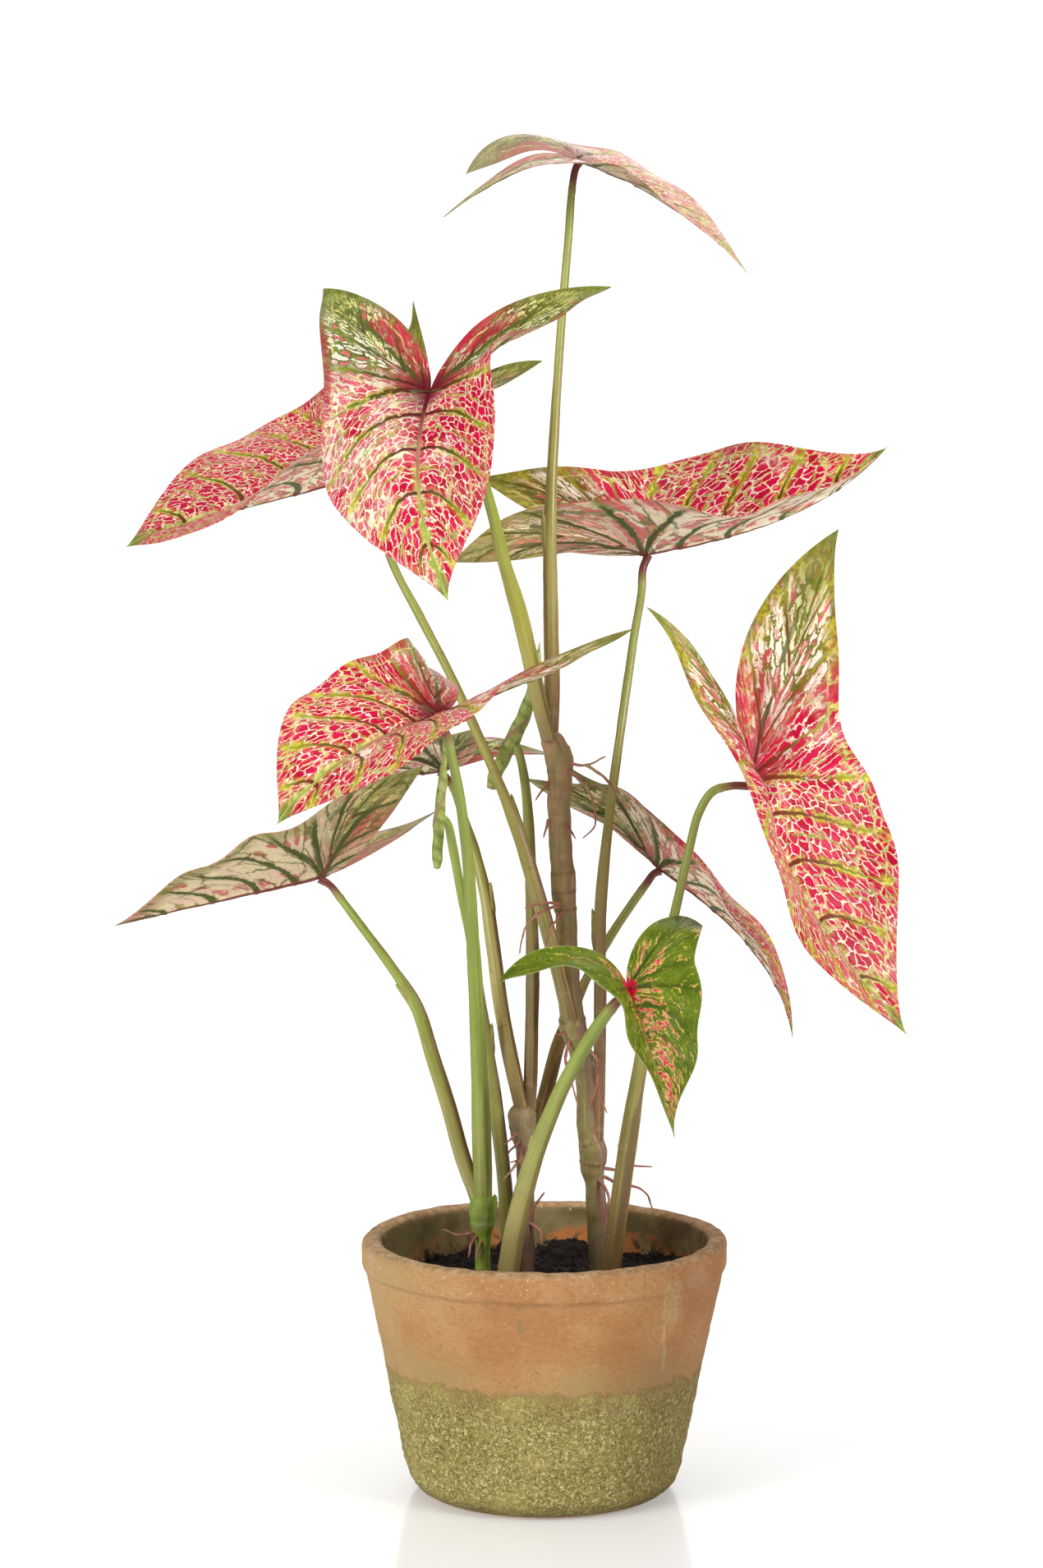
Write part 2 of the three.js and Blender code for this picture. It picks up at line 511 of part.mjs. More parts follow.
// The bent blade: the place in space of the flat point (x, u) on one side of the midrib.
function bladePoint(leaf, side, [x, u]) {
  const half = side > 0 ? leaf.left : leaf.right;
  const curl = (half.curl * DEG) / CURL_RUN;

  const ahead = clamp(x, 0, 1);
  const rib = ribFrame(leaf, ahead);
  const fold = (half.fold[0] + (half.fold[1] - half.fold[0]) * ahead) * DEG;
  const [out, up] = curlOut(u, fold, curl);
  const front = walk((s) => ribFrame(leaf, s).forward, ahead)
    .add(new THREE.Vector3(Math.min(x, 0), 0, 0))
    .addScaledVector(rib.left, side * out).addScaledVector(rib.up, up);

  const spread = leaf.spread * DEG;
  const along = -x * Math.cos(spread) + u * Math.sin(spread);
  const beside = x * Math.sin(spread) + u * Math.cos(spread);
  const reach = Math.max(along, 0);
  const lobe = lobeFrame(leaf, half, side, reach);
  const vee = leaf.vee * DEG * clamp(reach / VEE_RUN, 0, 1);
  const [aside, raised] = curlOut(Math.abs(beside), vee, half.curl * DEG * CURL_RUN);
  const back = walk((s) => lobeFrame(leaf, half, side, s).rib, reach)
    .addScaledVector(lobeFrame(leaf, half, side, 0).rib, Math.min(along, 0))
    .addScaledVector(lobe.across, Math.sign(beside) * aside).addScaledVector(lobe.up, raised);

  const bearing = Math.atan2(u, x + 1e-9) / DEG;
  const blend = smooth(clamp((bearing - LOBE_FROM) / (LOBE_WHOLLY - LOBE_FROM), 0, 1));
  const place = front.multiplyScalar(1 - blend).addScaledVector(back, blend);

  const normal = rib.up.clone().multiplyScalar(1 - blend).addScaledVector(lobe.up, blend).normalize();
  const lobeLength = leaf.lobe * half.lobe.reach;
  const height = half.wave * Math.min(u / leaf.width, 1) ** 2 * clamp((1 - x) / WAVE_FADE, 0, 1)
    * clamp((lobeLength - along) / (LOBE_WAVE_FADE * lobeLength), 0, 1);
  const ripple = Math.sin(2 * Math.PI * (WAVES_PER_BLADE * (x + WAVE_SLANT * u) + half.phase));
  return toWorld(leaf, place.addScaledVector(normal, height * ripple));
}

function bladeAxes(leaf) {
  const heading = leaf.heading * DEG;
  const pitch = leaf.pitch * DEG;
  const forward = new THREE.Vector3(Math.cos(heading), Math.sin(heading), Math.tan(pitch)).normalize();
  const level = new THREE.Vector3(-Math.sin(heading), Math.cos(heading), 0);
  const left = level.applyAxisAngle(forward, leaf.roll * DEG);
  return { forward, left, up: forward.clone().cross(left) };
}

function toWorld(leaf, local) {
  const { forward, left, up } = bladeAxes(leaf);
  return new THREE.Vector3(...leaf.at)
    .addScaledVector(forward, leaf.length * local.x)
    .addScaledVector(left, leaf.length * local.y)
    .addScaledVector(up, leaf.length * local.z);
}

// One half's flat grid: columns from the lobe's tip, past the joint, to the blade's tip,
// each a row of points from the rib or inner margin out to the outer margin.
function halfGrid(leaf, side) {
  const half = side > 0 ? leaf.left : leaf.right;
  const columns = [];
  for (let c = LOBE_COLUMNS; c > 0; c -= 1) {
    const { outer, inner } = lobeMargins(leaf, half, c / LOBE_COLUMNS);
    columns.push([inner, outer]);
  }
  for (let c = 0; c <= FRONT_COLUMNS; c += 1) {
    const ahead = c / FRONT_COLUMNS;
    const left = 1 - ahead;
    const margin = frontMargin(leaf, 1 - left ** 1.25);
    const lag = WIDEST_AT * left + VEIN_SLANT * leaf.width * ahead * left;
    columns.push([[margin[0] - lag, 0], margin]);
  }
  return columns.map(([inner, outer]) => {
    const row = [];
    for (let r = 0; r <= BLADE_ROWS; r += 1) {
      row.push(lerpPair(inner, outer, r / BLADE_ROWS));
    }
    return row;
  });
}

// The middle surface of a blade as shared points and triangles, both halves.
function bladeSurface(leaf) {
  const points = [];
  const seen = new Map();
  const triangles = [];
  const indexOf = (point) => {
    const key = [point.x, point.y, point.z].map((v) => v.toFixed(4)).join();
    if (!seen.has(key)) {
      seen.set(key, points.length);
      points.push(point);
    }
    return seen.get(key);
  };
  [1, -1].forEach((side) => {
    const grid = halfGrid(leaf, side).map((row) => row.map((flat) => indexOf(bladePoint(leaf, side, flat))));
    for (let c = 0; c + 1 < grid.length; c += 1) {
      for (let r = 0; r < BLADE_ROWS; r += 1) {
        const quad = [grid[c][r], grid[c + 1][r], grid[c + 1][r + 1], grid[c][r + 1]];
        [[0, 1, 2], [0, 2, 3]].forEach((corners) => {
          const [a, b, d] = corners.map((i) => quad[i]);
          if (a !== b && b !== d && a !== d) {
            triangles.push(side > 0 ? [a, b, d] : [a, d, b]);
          }
        });
      }
    }
  });
  return { points, triangles };
}

function pointNormals({ points, triangles }) {
  const normals = points.map(() => new THREE.Vector3());
  triangles.forEach(([a, b, c]) => {
    const face = points[b].clone().sub(points[a]).cross(points[c].clone().sub(points[a]));
    [a, b, c].forEach((i) => normals[i].add(face));
  });
  return normals.map((n) => n.normalize());
}

// The thickened edge of the notch between the lobes, on both sides of the joint.
function notchGeometry(leaf, clearance) {
  const route = [-0.3, -0.15, 0, 0.15, 0.3].map((t) => {
    const side = t < 0 ? -1 : 1;
    const { inner } = lobeMargins(leaf, side > 0 ? leaf.left : leaf.right, Math.abs(t));
    return [...bladePoint(leaf, side, inner), BLADE_THICKNESS / 2];
  });
  return tubeGeometry(route, STALK_SIDES, route.length, clearance);
}

// A blade with its thickness: the surface's two faces, split alike, and its rim.
function bladeGeometry(leaf, thickness = BLADE_THICKNESS) {
  const surface = bladeSurface(leaf);
  const normals = pointNormals(surface);
  const count = surface.points.length;
  const points = [1, -1].flatMap((face) => surface.points
    .map((p, i) => p.clone().addScaledVector(normals[i], (face * thickness) / 2)));
  const triangles = surface.triangles.flatMap(([a, b, c]) => [[a, b, c], [a + count, c + count, b + count]]);
  const edges = new Set(surface.triangles.flatMap(([a, b, c]) => [`${a},${b}`, `${b},${c}`, `${c},${a}`]));
  edges.forEach((edge) => {
    const [a, b] = edge.split(',').map(Number);
    if (!edges.has(`${b},${a}`)) {
      triangles.push([b, a, a + count], [b, a + count, b + count]);
    }
  });
  return indexedGeometry(points, triangles);
}

// ---------------------------------------------------------------- pot and soil

function outsideRadius(z) {
  const slope = (POT_RIM_RADIUS - COLLAR_STEP - POT_BASE_RADIUS) / (POT_HEIGHT - COLLAR_HEIGHT);
  return POT_BASE_RADIUS + slope * z;
}

const insideRadius = (z) => outsideRadius(z) - POT_WALL;

function potGeometry() {
  const collarFoot = POT_HEIGHT - COLLAR_HEIGHT;
  const profile = [
    [0, 0],
    [outsideRadius(0) - POT_CORNER, 0],
    [outsideRadius(0) - POT_CORNER * 0.35, POT_CORNER * 0.3],
    [outsideRadius(POT_CORNER), POT_CORNER],
    [outsideRadius(collarFoot / 2), collarFoot / 2],
    [outsideRadius(collarFoot - COLLAR_BEVEL), collarFoot - COLLAR_BEVEL],
    [POT_RIM_RADIUS - COLLAR_BEVEL / 2, collarFoot],
    [POT_RIM_RADIUS, POT_HEIGHT - RIM_ROUND],
    [POT_RIM_RADIUS - RIM_ROUND * 0.4, POT_HEIGHT - RIM_ROUND * 0.4],
    [POT_RIM_RADIUS - RIM_ROUND, POT_HEIGHT],
    [POT_RIM_RADIUS - POT_WALL + RIM_ROUND, POT_HEIGHT],
    [POT_RIM_RADIUS - POT_WALL, POT_HEIGHT - RIM_ROUND],
    [insideRadius(SOIL_TOP), SOIL_TOP],
    [insideRadius(POT_FLOOR + FLOOR_ROUND), POT_FLOOR + FLOOR_ROUND],
    [insideRadius(POT_FLOOR) - FLOOR_ROUND, POT_FLOOR],
    [0, POT_FLOOR],
  ];
  const geometry = new THREE.LatheGeometry(profile.map(([r, z]) => new THREE.Vector2(r, z)), POT_SIDES);
  return geometry.rotateX(Math.PI / 2);
}

// The soil's lumpy surface, heaped a little against the back wall: [x, y, width] of heaps.
const HEAPS = [[12, 52, 8], [42, 42, 7], [50, 34, 6]];
const HEAP_HEIGHT = 3;

function soilHeight(x, y) {
  const broad = Math.sin(0.21 * x + 1.3) * Math.cos(0.17 * y - 0.4);
  const fine = 0.6 * Math.sin(0.43 * x - 0.31 * y);
  const heaped = HEAPS.reduce((sum, [hx, hy, width]) => (
    sum + HEAP_HEIGHT * Math.exp(-((x - hx) ** 2 + (y - hy) ** 2) / width ** 2)), 0);
  return SOIL_TOP + SOIL_LUMP * (broad + fine) + heaped;
}

// The soil as one body: its surface in rings, its side just clear of the pot, its foot.
function soilGeometry() {
  const points = [new THREE.Vector3(0, 0, soilHeight(0, 0))];
  const triangles = [];
  const addRing = (radius, height) => {
    for (let side = 0; side < POT_SIDES; side += 1) {
      const angle = (2 * Math.PI * side) / POT_SIDES;
      const x = radius * Math.cos(angle);
      const y = radius * Math.sin(angle);
      points.push(new THREE.Vector3(x, y, height(x, y)));
    }
  };
  const edge = insideRadius(SOIL_TOP - 2 * SOIL_LUMP) - SOIL_CLEARANCE;
  for (let ring = 1; ring <= SOIL_RINGS; ring += 1) {
    addRing((edge * ring) / SOIL_RINGS, soilHeight);
  }
  const low = POT_FLOOR + FLOOR_ROUND;
  addRing(insideRadius(low) - SOIL_CLEARANCE, () => low);
  addRing(insideRadius(POT_FLOOR) - FLOOR_ROUND - SOIL_CLEARANCE, () => POT_FLOOR + GAP);
  points.push(new THREE.Vector3(0, 0, POT_FLOOR + GAP));
  const at = (ring, side) => 1 + (ring - 1) * POT_SIDES + (side % POT_SIDES);
  const last = SOIL_RINGS + 2;
  for (let side = 0; side < POT_SIDES; side += 1) {
    triangles.push([0, at(1, side), at(1, side + 1)]);
    for (let ring = 1; ring < last; ring += 1) {
      triangles.push([at(ring, side), at(ring + 1, side), at(ring + 1, side + 1)]);
      triangles.push([at(ring, side), at(ring + 1, side + 1), at(ring, side + 1)]);
    }
    triangles.push([at(last, side), points.length - 1, at(last, side + 1)]);
  }
  return indexedGeometry(points, triangles);
}

// The plain hole that a stem stands in: a straight stretch of its foot, carried upwards.
function holeFor(route) {
  const [bottom] = deepened(route, SOIL_TOP - HOLE_DEPTH);
  const [top] = deepened(route, POT_HEIGHT);
  return tubeGeometry([bottom, top], HOLE_SIDES, POT_HEIGHT, HOLE_CLEARANCE);
}

// ---------------------------------------------------------------- the plant's pieces

// A small free tooth where a stalk's sheath ends, sunk into the stalk it belongs to.
function toothRoute(route, { height, toward, length }) {
  const above = route.findIndex(([, , z]) => z > height);
  const [a, b] = [route[above - 1], route[above]];
  const t = (height - a[2]) / (b[2] - a[2]);
  const [x, y, z, radius] = a.map((v, k) => v + (b[k] - v) * t);
  const out = [Math.cos(toward * DEG), Math.sin(toward * DEG)];
  const place = (off, up, r) => {
    const slide = up / (b[2] - a[2]);
    return [x + (b[0] - a[0]) * slide + out[0] * off, y + (b[1] - a[1]) * slide + out[1] * off, z + up, r];
  };
  return [
    place(radius * 0.2, -length, radius * 0.75),
    place(radius * 0.55, -length * 0.3, radius * 0.6),
    place(radius * 1.15, length * 0.35, TOOTH_TIP_RADIUS),
  ];
}

// The point just under a blade where its stalk ends.
function stalkTop(leaf) {
  const { forward, up } = bladeAxes(leaf);
  const end = new THREE.Vector3(...leaf.at)
    .addScaledVector(forward, STALK_INSET).addScaledVector(up, -STALK_DROP);
  return [end.x, end.y, end.z, STALK_TIP_RADIUS];
}

// A route carried straight on from its foot, down to a height.
function deepened(route, height) {
  const [[x, y, z, radius], next] = route;
  const slide = (height - z) / (next[2] - z);
  return [[x + (next[0] - x) * slide, y + (next[1] - y) * slide, height, radius], ...route.slice(1)];
}

// ---------------------------------------------------------------- the scene graph

const plant = new THREE.Group();

function addMesh(name, geometry, color, roughness = 0.6) {
  const mesh = new THREE.Mesh(geometry, new THREE.MeshStandardMaterial({ color, roughness, metalness: 0 }));
  mesh.name = name;
  plant.add(mesh);
}

const leaves = Object.fromEntries(LEAVES.map((leaf) => [leaf.name, leaf]));
const routes = { ...CANES, ...STALKS };
Object.keys(STALKS).forEach((name) => {
  const leaf = leaves[name.replace('stalk', 'leaf')];
  if (leaf) routes[name] = [...STALKS[name], stalkTop(leaf)];
});
Object.keys(routes).forEach((name) => {
  const depth = IN_SOIL.includes(name) ? SOIL_TOP - HOLE_DEPTH + 2 : routes[name][0][2] - SEAT_DEPTH;
  routes[name] = deepened(routes[name], depth);
});

addMesh('pot', potGeometry(), 0xb98659, 0.9);

let soil = solidOf(soilGeometry());
IN_SOIL.forEach((name) => {
  soil = soil.subtract(solidOf(holeFor(routes[name])));
});
addMesh('soil', geometryOf(largestPiece(soil)), 0x1d1613, 1);

Object.keys(CANES).forEach((name) => {
  let cane = solidOf(tubeGeometry(routes[name]));
  ROOTS[name].forEach((root) => {
    const route = root.map((point, i) => [...point, ROOT_RADIUS * (i + 1 < root.length ? 1 : 0.6)]);
    cane = cane.add(solidOf(tubeGeometry(route, ROOT_SIDES, ROOT_STEP)));
  });
  addMesh(name, geometryOf(largestPiece(cane)), 0x80684c);
});

Object.entries(ROLLED).forEach(([name, route]) => {
  addMesh(name, tubeGeometry(route, STALK_SIDES, ROLLED_STEP), 0x8fa53c);
});

Object.keys(STALKS).forEach((name) => {
  let stalk = solidOf(tubeGeometry(routes[name]));
  if (SHEATH_TEETH[name]) {
    const tooth = toothRoute(routes[name], SHEATH_TEETH[name]);
    stalk = stalk.add(solidOf(tubeGeometry(tooth, TOOTH_SIDES, TOOTH_STEP)));
  }
  STALK_SEATS[name].forEach((seat) => {
    stalk = stalk.subtract(solidOf(tubeGeometry(routes[seat], STALK_SIDES, TUBE_STEP, GAP)));
  });
  const leaf = leaves[name.replace('stalk', 'leaf')];
  if (leaf) {
    stalk = stalk.subtract(solidOf(bladeGeometry(leaf, BLADE_THICKNESS + 2 * GAP)));
    stalk = stalk.subtract(solidOf(notchGeometry(leaf, GAP)));
  }
  const rolled = ROLLED[name.replace('stalk_', '')];
  if (rolled) stalk = stalk.subtract(solidOf(tubeGeometry(rolled, STALK_SIDES, ROLLED_STEP, GAP)));
  addMesh(name, geometryOf(largestPiece(stalk)), 0x86963c);
});

LEAVES.forEach((leaf) => {
  const green = leaf.name === 'leaf_10';
  addMesh(leaf.name, bladeGeometry(leaf), green ? 0x4c6a1e : 0xc4475a, 0.5);
});

export default plant;
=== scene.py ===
import math
import bpy
import numpy as np
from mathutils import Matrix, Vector, noise


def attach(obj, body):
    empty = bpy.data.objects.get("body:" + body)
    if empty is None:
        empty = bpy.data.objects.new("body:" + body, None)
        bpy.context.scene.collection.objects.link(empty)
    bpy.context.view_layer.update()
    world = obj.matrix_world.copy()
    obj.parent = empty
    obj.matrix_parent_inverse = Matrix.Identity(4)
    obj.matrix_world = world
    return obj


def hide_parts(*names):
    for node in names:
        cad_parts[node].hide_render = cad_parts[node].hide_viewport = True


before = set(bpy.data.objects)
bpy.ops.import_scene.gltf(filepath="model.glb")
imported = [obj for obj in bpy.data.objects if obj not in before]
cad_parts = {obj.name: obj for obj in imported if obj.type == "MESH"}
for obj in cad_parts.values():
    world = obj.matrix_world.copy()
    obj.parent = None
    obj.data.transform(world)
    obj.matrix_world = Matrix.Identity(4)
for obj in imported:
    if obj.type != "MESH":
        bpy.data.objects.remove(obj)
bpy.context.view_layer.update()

# ------------------------------------------------------------------ studio
# A plain pale table top and backcloth under a plain soft light: one large lamp in front to
# the left, a weaker one to the right, one overhead and one behind. The camera stands a little
# above the pot.

scene = bpy.context.scene
scene.view_settings.view_transform = "Standard"

lens = bpy.data.cameras.new("camera")
lens.lens = 88.58
lens.sensor_width = 36.0
lens.clip_end = 50.0
camera = bpy.data.objects.new("camera", lens)
camera.location = (-0.0093, -1.560, 0.435)
camera.rotation_euler = (math.radians(84.73), 0.0, 0.0)
scene.collection.objects.link(camera)
bpy.context.scene.camera = camera


def hang_lamp(name, place, width, watts, aim=(0.0, 0.0, 0.26), spread=180.0):
    light = bpy.data.lights.new(name, "AREA")
    light.shape = "DISK"
    light.size = width
    light.energy = watts
    light.spread = math.radians(spread)
    lamp = bpy.data.objects.new(name, light)
    lamp.location = place
    lamp.rotation_euler = (Vector(place) - Vector(aim)).to_track_quat("Z", "Y").to_euler()
    scene.collection.objects.link(lamp)


hang_lamp("lamp_left", (-1.55, -1.35, 1.05), 1.2, 28.0)
hang_lamp("lamp_right", (0.80, -0.60, 0.70), 0.5, 0.9, aim=(0.08, 0.0, 0.36), spread=50.0)
hang_lamp("lamp_overhead", (0.0, 0.1, 2.1), 2.0, 12.0)
hang_lamp("lamp_behind", (0.5, 1.7, 1.3), 1.2, 5.0)


class Value:
    """What a node gives. It can be reckoned with like a number; each sum is one more node."""

    def __init__(self, nodes, socket):
        self.nodes, self.socket = nodes, socket

    def math(self, operation, *others):
        return self.nodes.value("ShaderNodeMath", dict(enumerate((self, *others))), operation=operation)

    def vector(self, operation, other):
        output = 1 if operation == "DOT_PRODUCT" else 0
        return self.nodes.value("ShaderNodeVectorMath", {0: self, 1: other}, output, operation=operation)

    def __add__(self, other):
        return self.math("ADD", other)

    def __sub__(self, other):
        return self.math("SUBTRACT", other)

    def __rsub__(self, other):
        return self * -1.0 + other

    def __mul__(self, other):
        return self.math("MULTIPLY", other)

    def __rtruediv__(self, other):
        return self.nodes.value("ShaderNodeMath", {0: other, 1: self}, operation="DIVIDE")

    def __gt__(self, other):
        return self.math("GREATER_THAN", other)

    def __abs__(self):
        return self.math("ABSOLUTE")

    def or_more(self, other):
        return self.math("MAXIMUM", other)

    def or_less(self, other):
        return self.math("MINIMUM", other)

    def enlarged(self, factor):
        return self.nodes.value("ShaderNodeVectorMath", {0: self, "Scale": factor}, operation="SCALE")

    def smooth(self, low, high):
        """0 below low and 1 above high, eased between; low may be the higher of the two."""
        return self.nodes.value("ShaderNodeMapRange", {"Value": self, "From Min": low, "From Max": high},
                                interpolation_type="SMOOTHSTEP")

    def noise(self, scale, detail=2.0, roughness=0.5, output=0):
        return self.nodes.value("ShaderNodeTexNoise", {"Vector": self, "Scale": scale, "Detail": detail,
                                                       "Roughness": roughness}, output)

    def parts(self):
        return list(self.nodes.outputs("ShaderNodeSeparateXYZ", {0: self}).values())

    def lay(self, mask, tone, blend="MIX"):
        """This colour with another laid over it as far as the mask says."""
        return self.nodes.mix(mask, self, tone, blend)


class Nodes:
    """Puts nodes on a tree and joins their sockets as it goes."""

    def __init__(self, tree):
        self.tree = tree
        tree.nodes.clear()

    def add(self, kind, inputs=None, **settings):
        node = self.tree.nodes.new(kind)
        for name, value in settings.items():
            setattr(node, name, value)
        for key, value in (inputs or {}).items():
            self.fill(node.inputs[key], value)
        return node

    def fill(self, socket, value):
        if isinstance(value, Value):
            self.tree.links.new(value.socket, socket)
        elif socket.type == "RGBA" and len(value) == 3:
            socket.default_value = (*value, 1.0)
        else:
            socket.default_value = value

    def value(self, kind, inputs=None, output=0, **settings):
        return Value(self, self.add(kind, inputs, **settings).outputs[output])

    def outputs(self, kind, inputs=None):
        return {socket.name: Value(self, socket) for socket in self.add(kind, inputs).outputs}

    def place(self):
        return self.value("ShaderNodeTexCoord", output="Object")

    def attribute(self, name, output="Vector"):
        return self.value("ShaderNodeAttribute", output=output, attribute_name=name)

    def fact(self, name):
        return self.attribute(name, "Fac")

    def join(self, x=0.0, y=0.0, z=0.0):
        return self.value("ShaderNodeCombineXYZ", {0: x, 1: y, 2: z})

    def mix(self, amount, first, second, blend="MIX"):
        return self.value("ShaderNodeMix", {0: amount, 6: first, 7: second}, 2,
                          data_type="RGBA", blend_type=blend)

    def bump(self, height, strength, distance, over=None):
        inputs = {"Height": height, "Strength": strength, "Distance": distance}
        return self.value("ShaderNodeBump", inputs if over is None else {**inputs, "Normal": over})


def make_finish(name):
    """An empty material and its nodes."""
    material = bpy.data.materials.new(name)
    material.use_nodes = True
    return material, Nodes(material.node_tree)


def coat(nodes, colour, roughness, normal=None, specular=0.5, **uniform):
    """The finish's shader, which ends each material."""
    inputs = {"Base Color": colour, "Roughness": roughness, "Specular IOR Level": specular}
    if normal is not None:
        inputs["Normal"] = normal
    inputs.update((socket.replace("_", " "), value) for socket, value in uniform.items())
    nodes.add("ShaderNodeOutputMaterial", {"Surface": nodes.value("ShaderNodeBsdfPrincipled", inputs)})


world = bpy.data.worlds.new("white_room")
world.use_nodes = True
scene.world = world
room = Nodes(world.node_tree)
ray = room.outputs("ShaderNodeLightPath")
brightness = ray["Is Camera Ray"] * 0.72 + (ray["Is Glossy Ray"] * -0.21 + 0.33)
glow = room.value("ShaderNodeBackground", {"Color": (1.0, 1.0, 1.0), "Strength": brightness})
room.add("ShaderNodeOutputWorld", {"Surface": glow})

table_top, paint = make_finish("white_table_top")
where = paint.place()
sheen_patches = where.noise(3.0) * 0.02 + 0.14
coat(paint, (0.95, 0.95, 0.95), sheen_patches, specular=0.35, Emission_Color=(1.0, 1.0, 1.0),
     Emission_Strength=0.18)
backcloth, cloth = make_finish("lit_white_backcloth")
lit = cloth.value("ShaderNodeEmission", {"Color": (1.0, 1.0, 1.0), "Strength": 1.15})
cloth.add("ShaderNodeOutputMaterial", {"Surface": lit})
for name, front, back, finish in (("table_top", (-0.8, 0), (0.8, 0), table_top),
                                  ("backcloth", (2.9, -0.6), (2.9, 2.6), backcloth)):
    sheet = bpy.data.meshes.new(name)
    sheet.from_pydata([(-0.9, *front), (0.9, *front), (0.9, *back), (-0.9, *back)], [], [(0, 1, 2, 3)])
    sheet.materials.append(finish)
    stage = bpy.data.objects.new(name, sheet)
    scene.collection.objects.link(stage)

# ------------------------------------------------------------------ pot
# An old hand-thrown terracotta pot with a low collar, its lower half under a crust of lime
# and dried algae. It is thrown on a wheel, so it is turned here too, then worn unevenly.

POT_HEIGHT = 105.0
POT_RIM_RADIUS = 75.0
POT_BASE_RADIUS = 54.0
POT_WALL = 8.5
POT_FLOOR = 9.0
COLLAR_HEIGHT = 12.0
COLLAR_STEP = 1.4
POT_SEGMENTS = 384
RIM_RING = 108  # the rings before it are outside, those after it inside
CRUST_TOP = 55.0


def outside_radius(z):
    flare = POT_RIM_RADIUS - COLLAR_STEP - POT_BASE_RADIUS
    return POT_BASE_RADIUS + flare * z / (POT_HEIGHT - COLLAR_HEIGHT)


def inside_radius(z):
    return outside_radius(z) - POT_WALL


def pot_profile():
    """The turned outline, from under the foot over the rim to the middle of the floor."""
    collar_foot, rim = POT_HEIGHT - COLLAR_HEIGHT, POT_RIM_RADIUS
    leg = lambda z, step=0.0, parts=2: (outside_radius(z) - step, z, parts)
    inner = lambda z, step=0.0, parts=2: (inside_radius(z) - step, z, parts)
    legs = [  # radius, height, and the number of rings on the way there
        (0.0, 0.0, 0), (42.0, 0.0, 6), leg(0.0, 7.5, 3), (outside_radius(0) - 4.6, 0.8, 2),
        leg(2.4, 2.6), leg(5.2, 1.0, 3), leg(10.0, 0.0, 4), leg(60.0, 0.0, 48),
        leg(collar_foot - 1.2, 0.0, 20), leg(collar_foot - 0.3, -0.4),
        (rim - 0.5, collar_foot + 0.6, 2), (rim - 0.1, collar_foot + 2.0, 2),
        (rim, POT_HEIGHT - 3.0, 7), (rim - 0.3, POT_HEIGHT - 1.6, 2),
        (rim - 1.2, POT_HEIGHT - 0.5, 2), (rim - 2.4, POT_HEIGHT, 2),
        (rim - POT_WALL + 2.6, POT_HEIGHT - 0.1, 5), (rim - POT_WALL + 1.0, POT_HEIGHT - 0.8, 2),
        (rim - POT_WALL + 0.1, POT_HEIGHT - 2.4, 2), inner(96.0, 0.0, 5),
        inner(82.0, 0.0, 12), inner(14.0, 0.0, 4), inner(POT_FLOOR, 5.0), (0.0, POT_FLOOR, 2),
    ]
    outline = [legs[0][:2]]
    for (r0, z0, _), (r1, z1, steps) in zip(legs, legs[1:]):
        outline += [(r0 + (r1 - r0) * k / steps, z0 + (z1 - z0) * k / steps) for k in range(1, steps + 1)]
    return outline


noise.seed_set(7)  # the same grain at every run


def lumps(x, y, z, size, octaves=3):
    return noise.fractal(Vector((x, y, z)) / size, 0.9, 2.1, octaves)


def crust_at(x, y, z):
    """How thick the crust lies, 0 to 1, and the height of its grains."""
    edge = CRUST_TOP + 2.0 * (-y / 70.0) + 3.2 * lumps(x, y, z * 0.6, 14.0, 4)
    cover = min(max((edge - z) / 7.0, 0.0), 1.0)
    place = Vector((x, y, z))
    near, middles = noise.voronoi(place / 3.0 + 0.45 * noise.noise_vector(place / 2.2))[:2]
    flaking = min(max(0.70 + 1.1 * lumps(x, y, z, 15.0, 2), 0.0), 1.0)
    flaking *= min(max((CRUST_TOP - 3.0 - z) / 12.0, 0.1), 1.0)
    flake = min((near[1] - near[0]) / 0.20, 1.0) * (0.25 + 0.75 * abs(noise.noise(middles[0] * 9.3)) * 2.0)
    return cover, flaking * min(flake, 1.0)


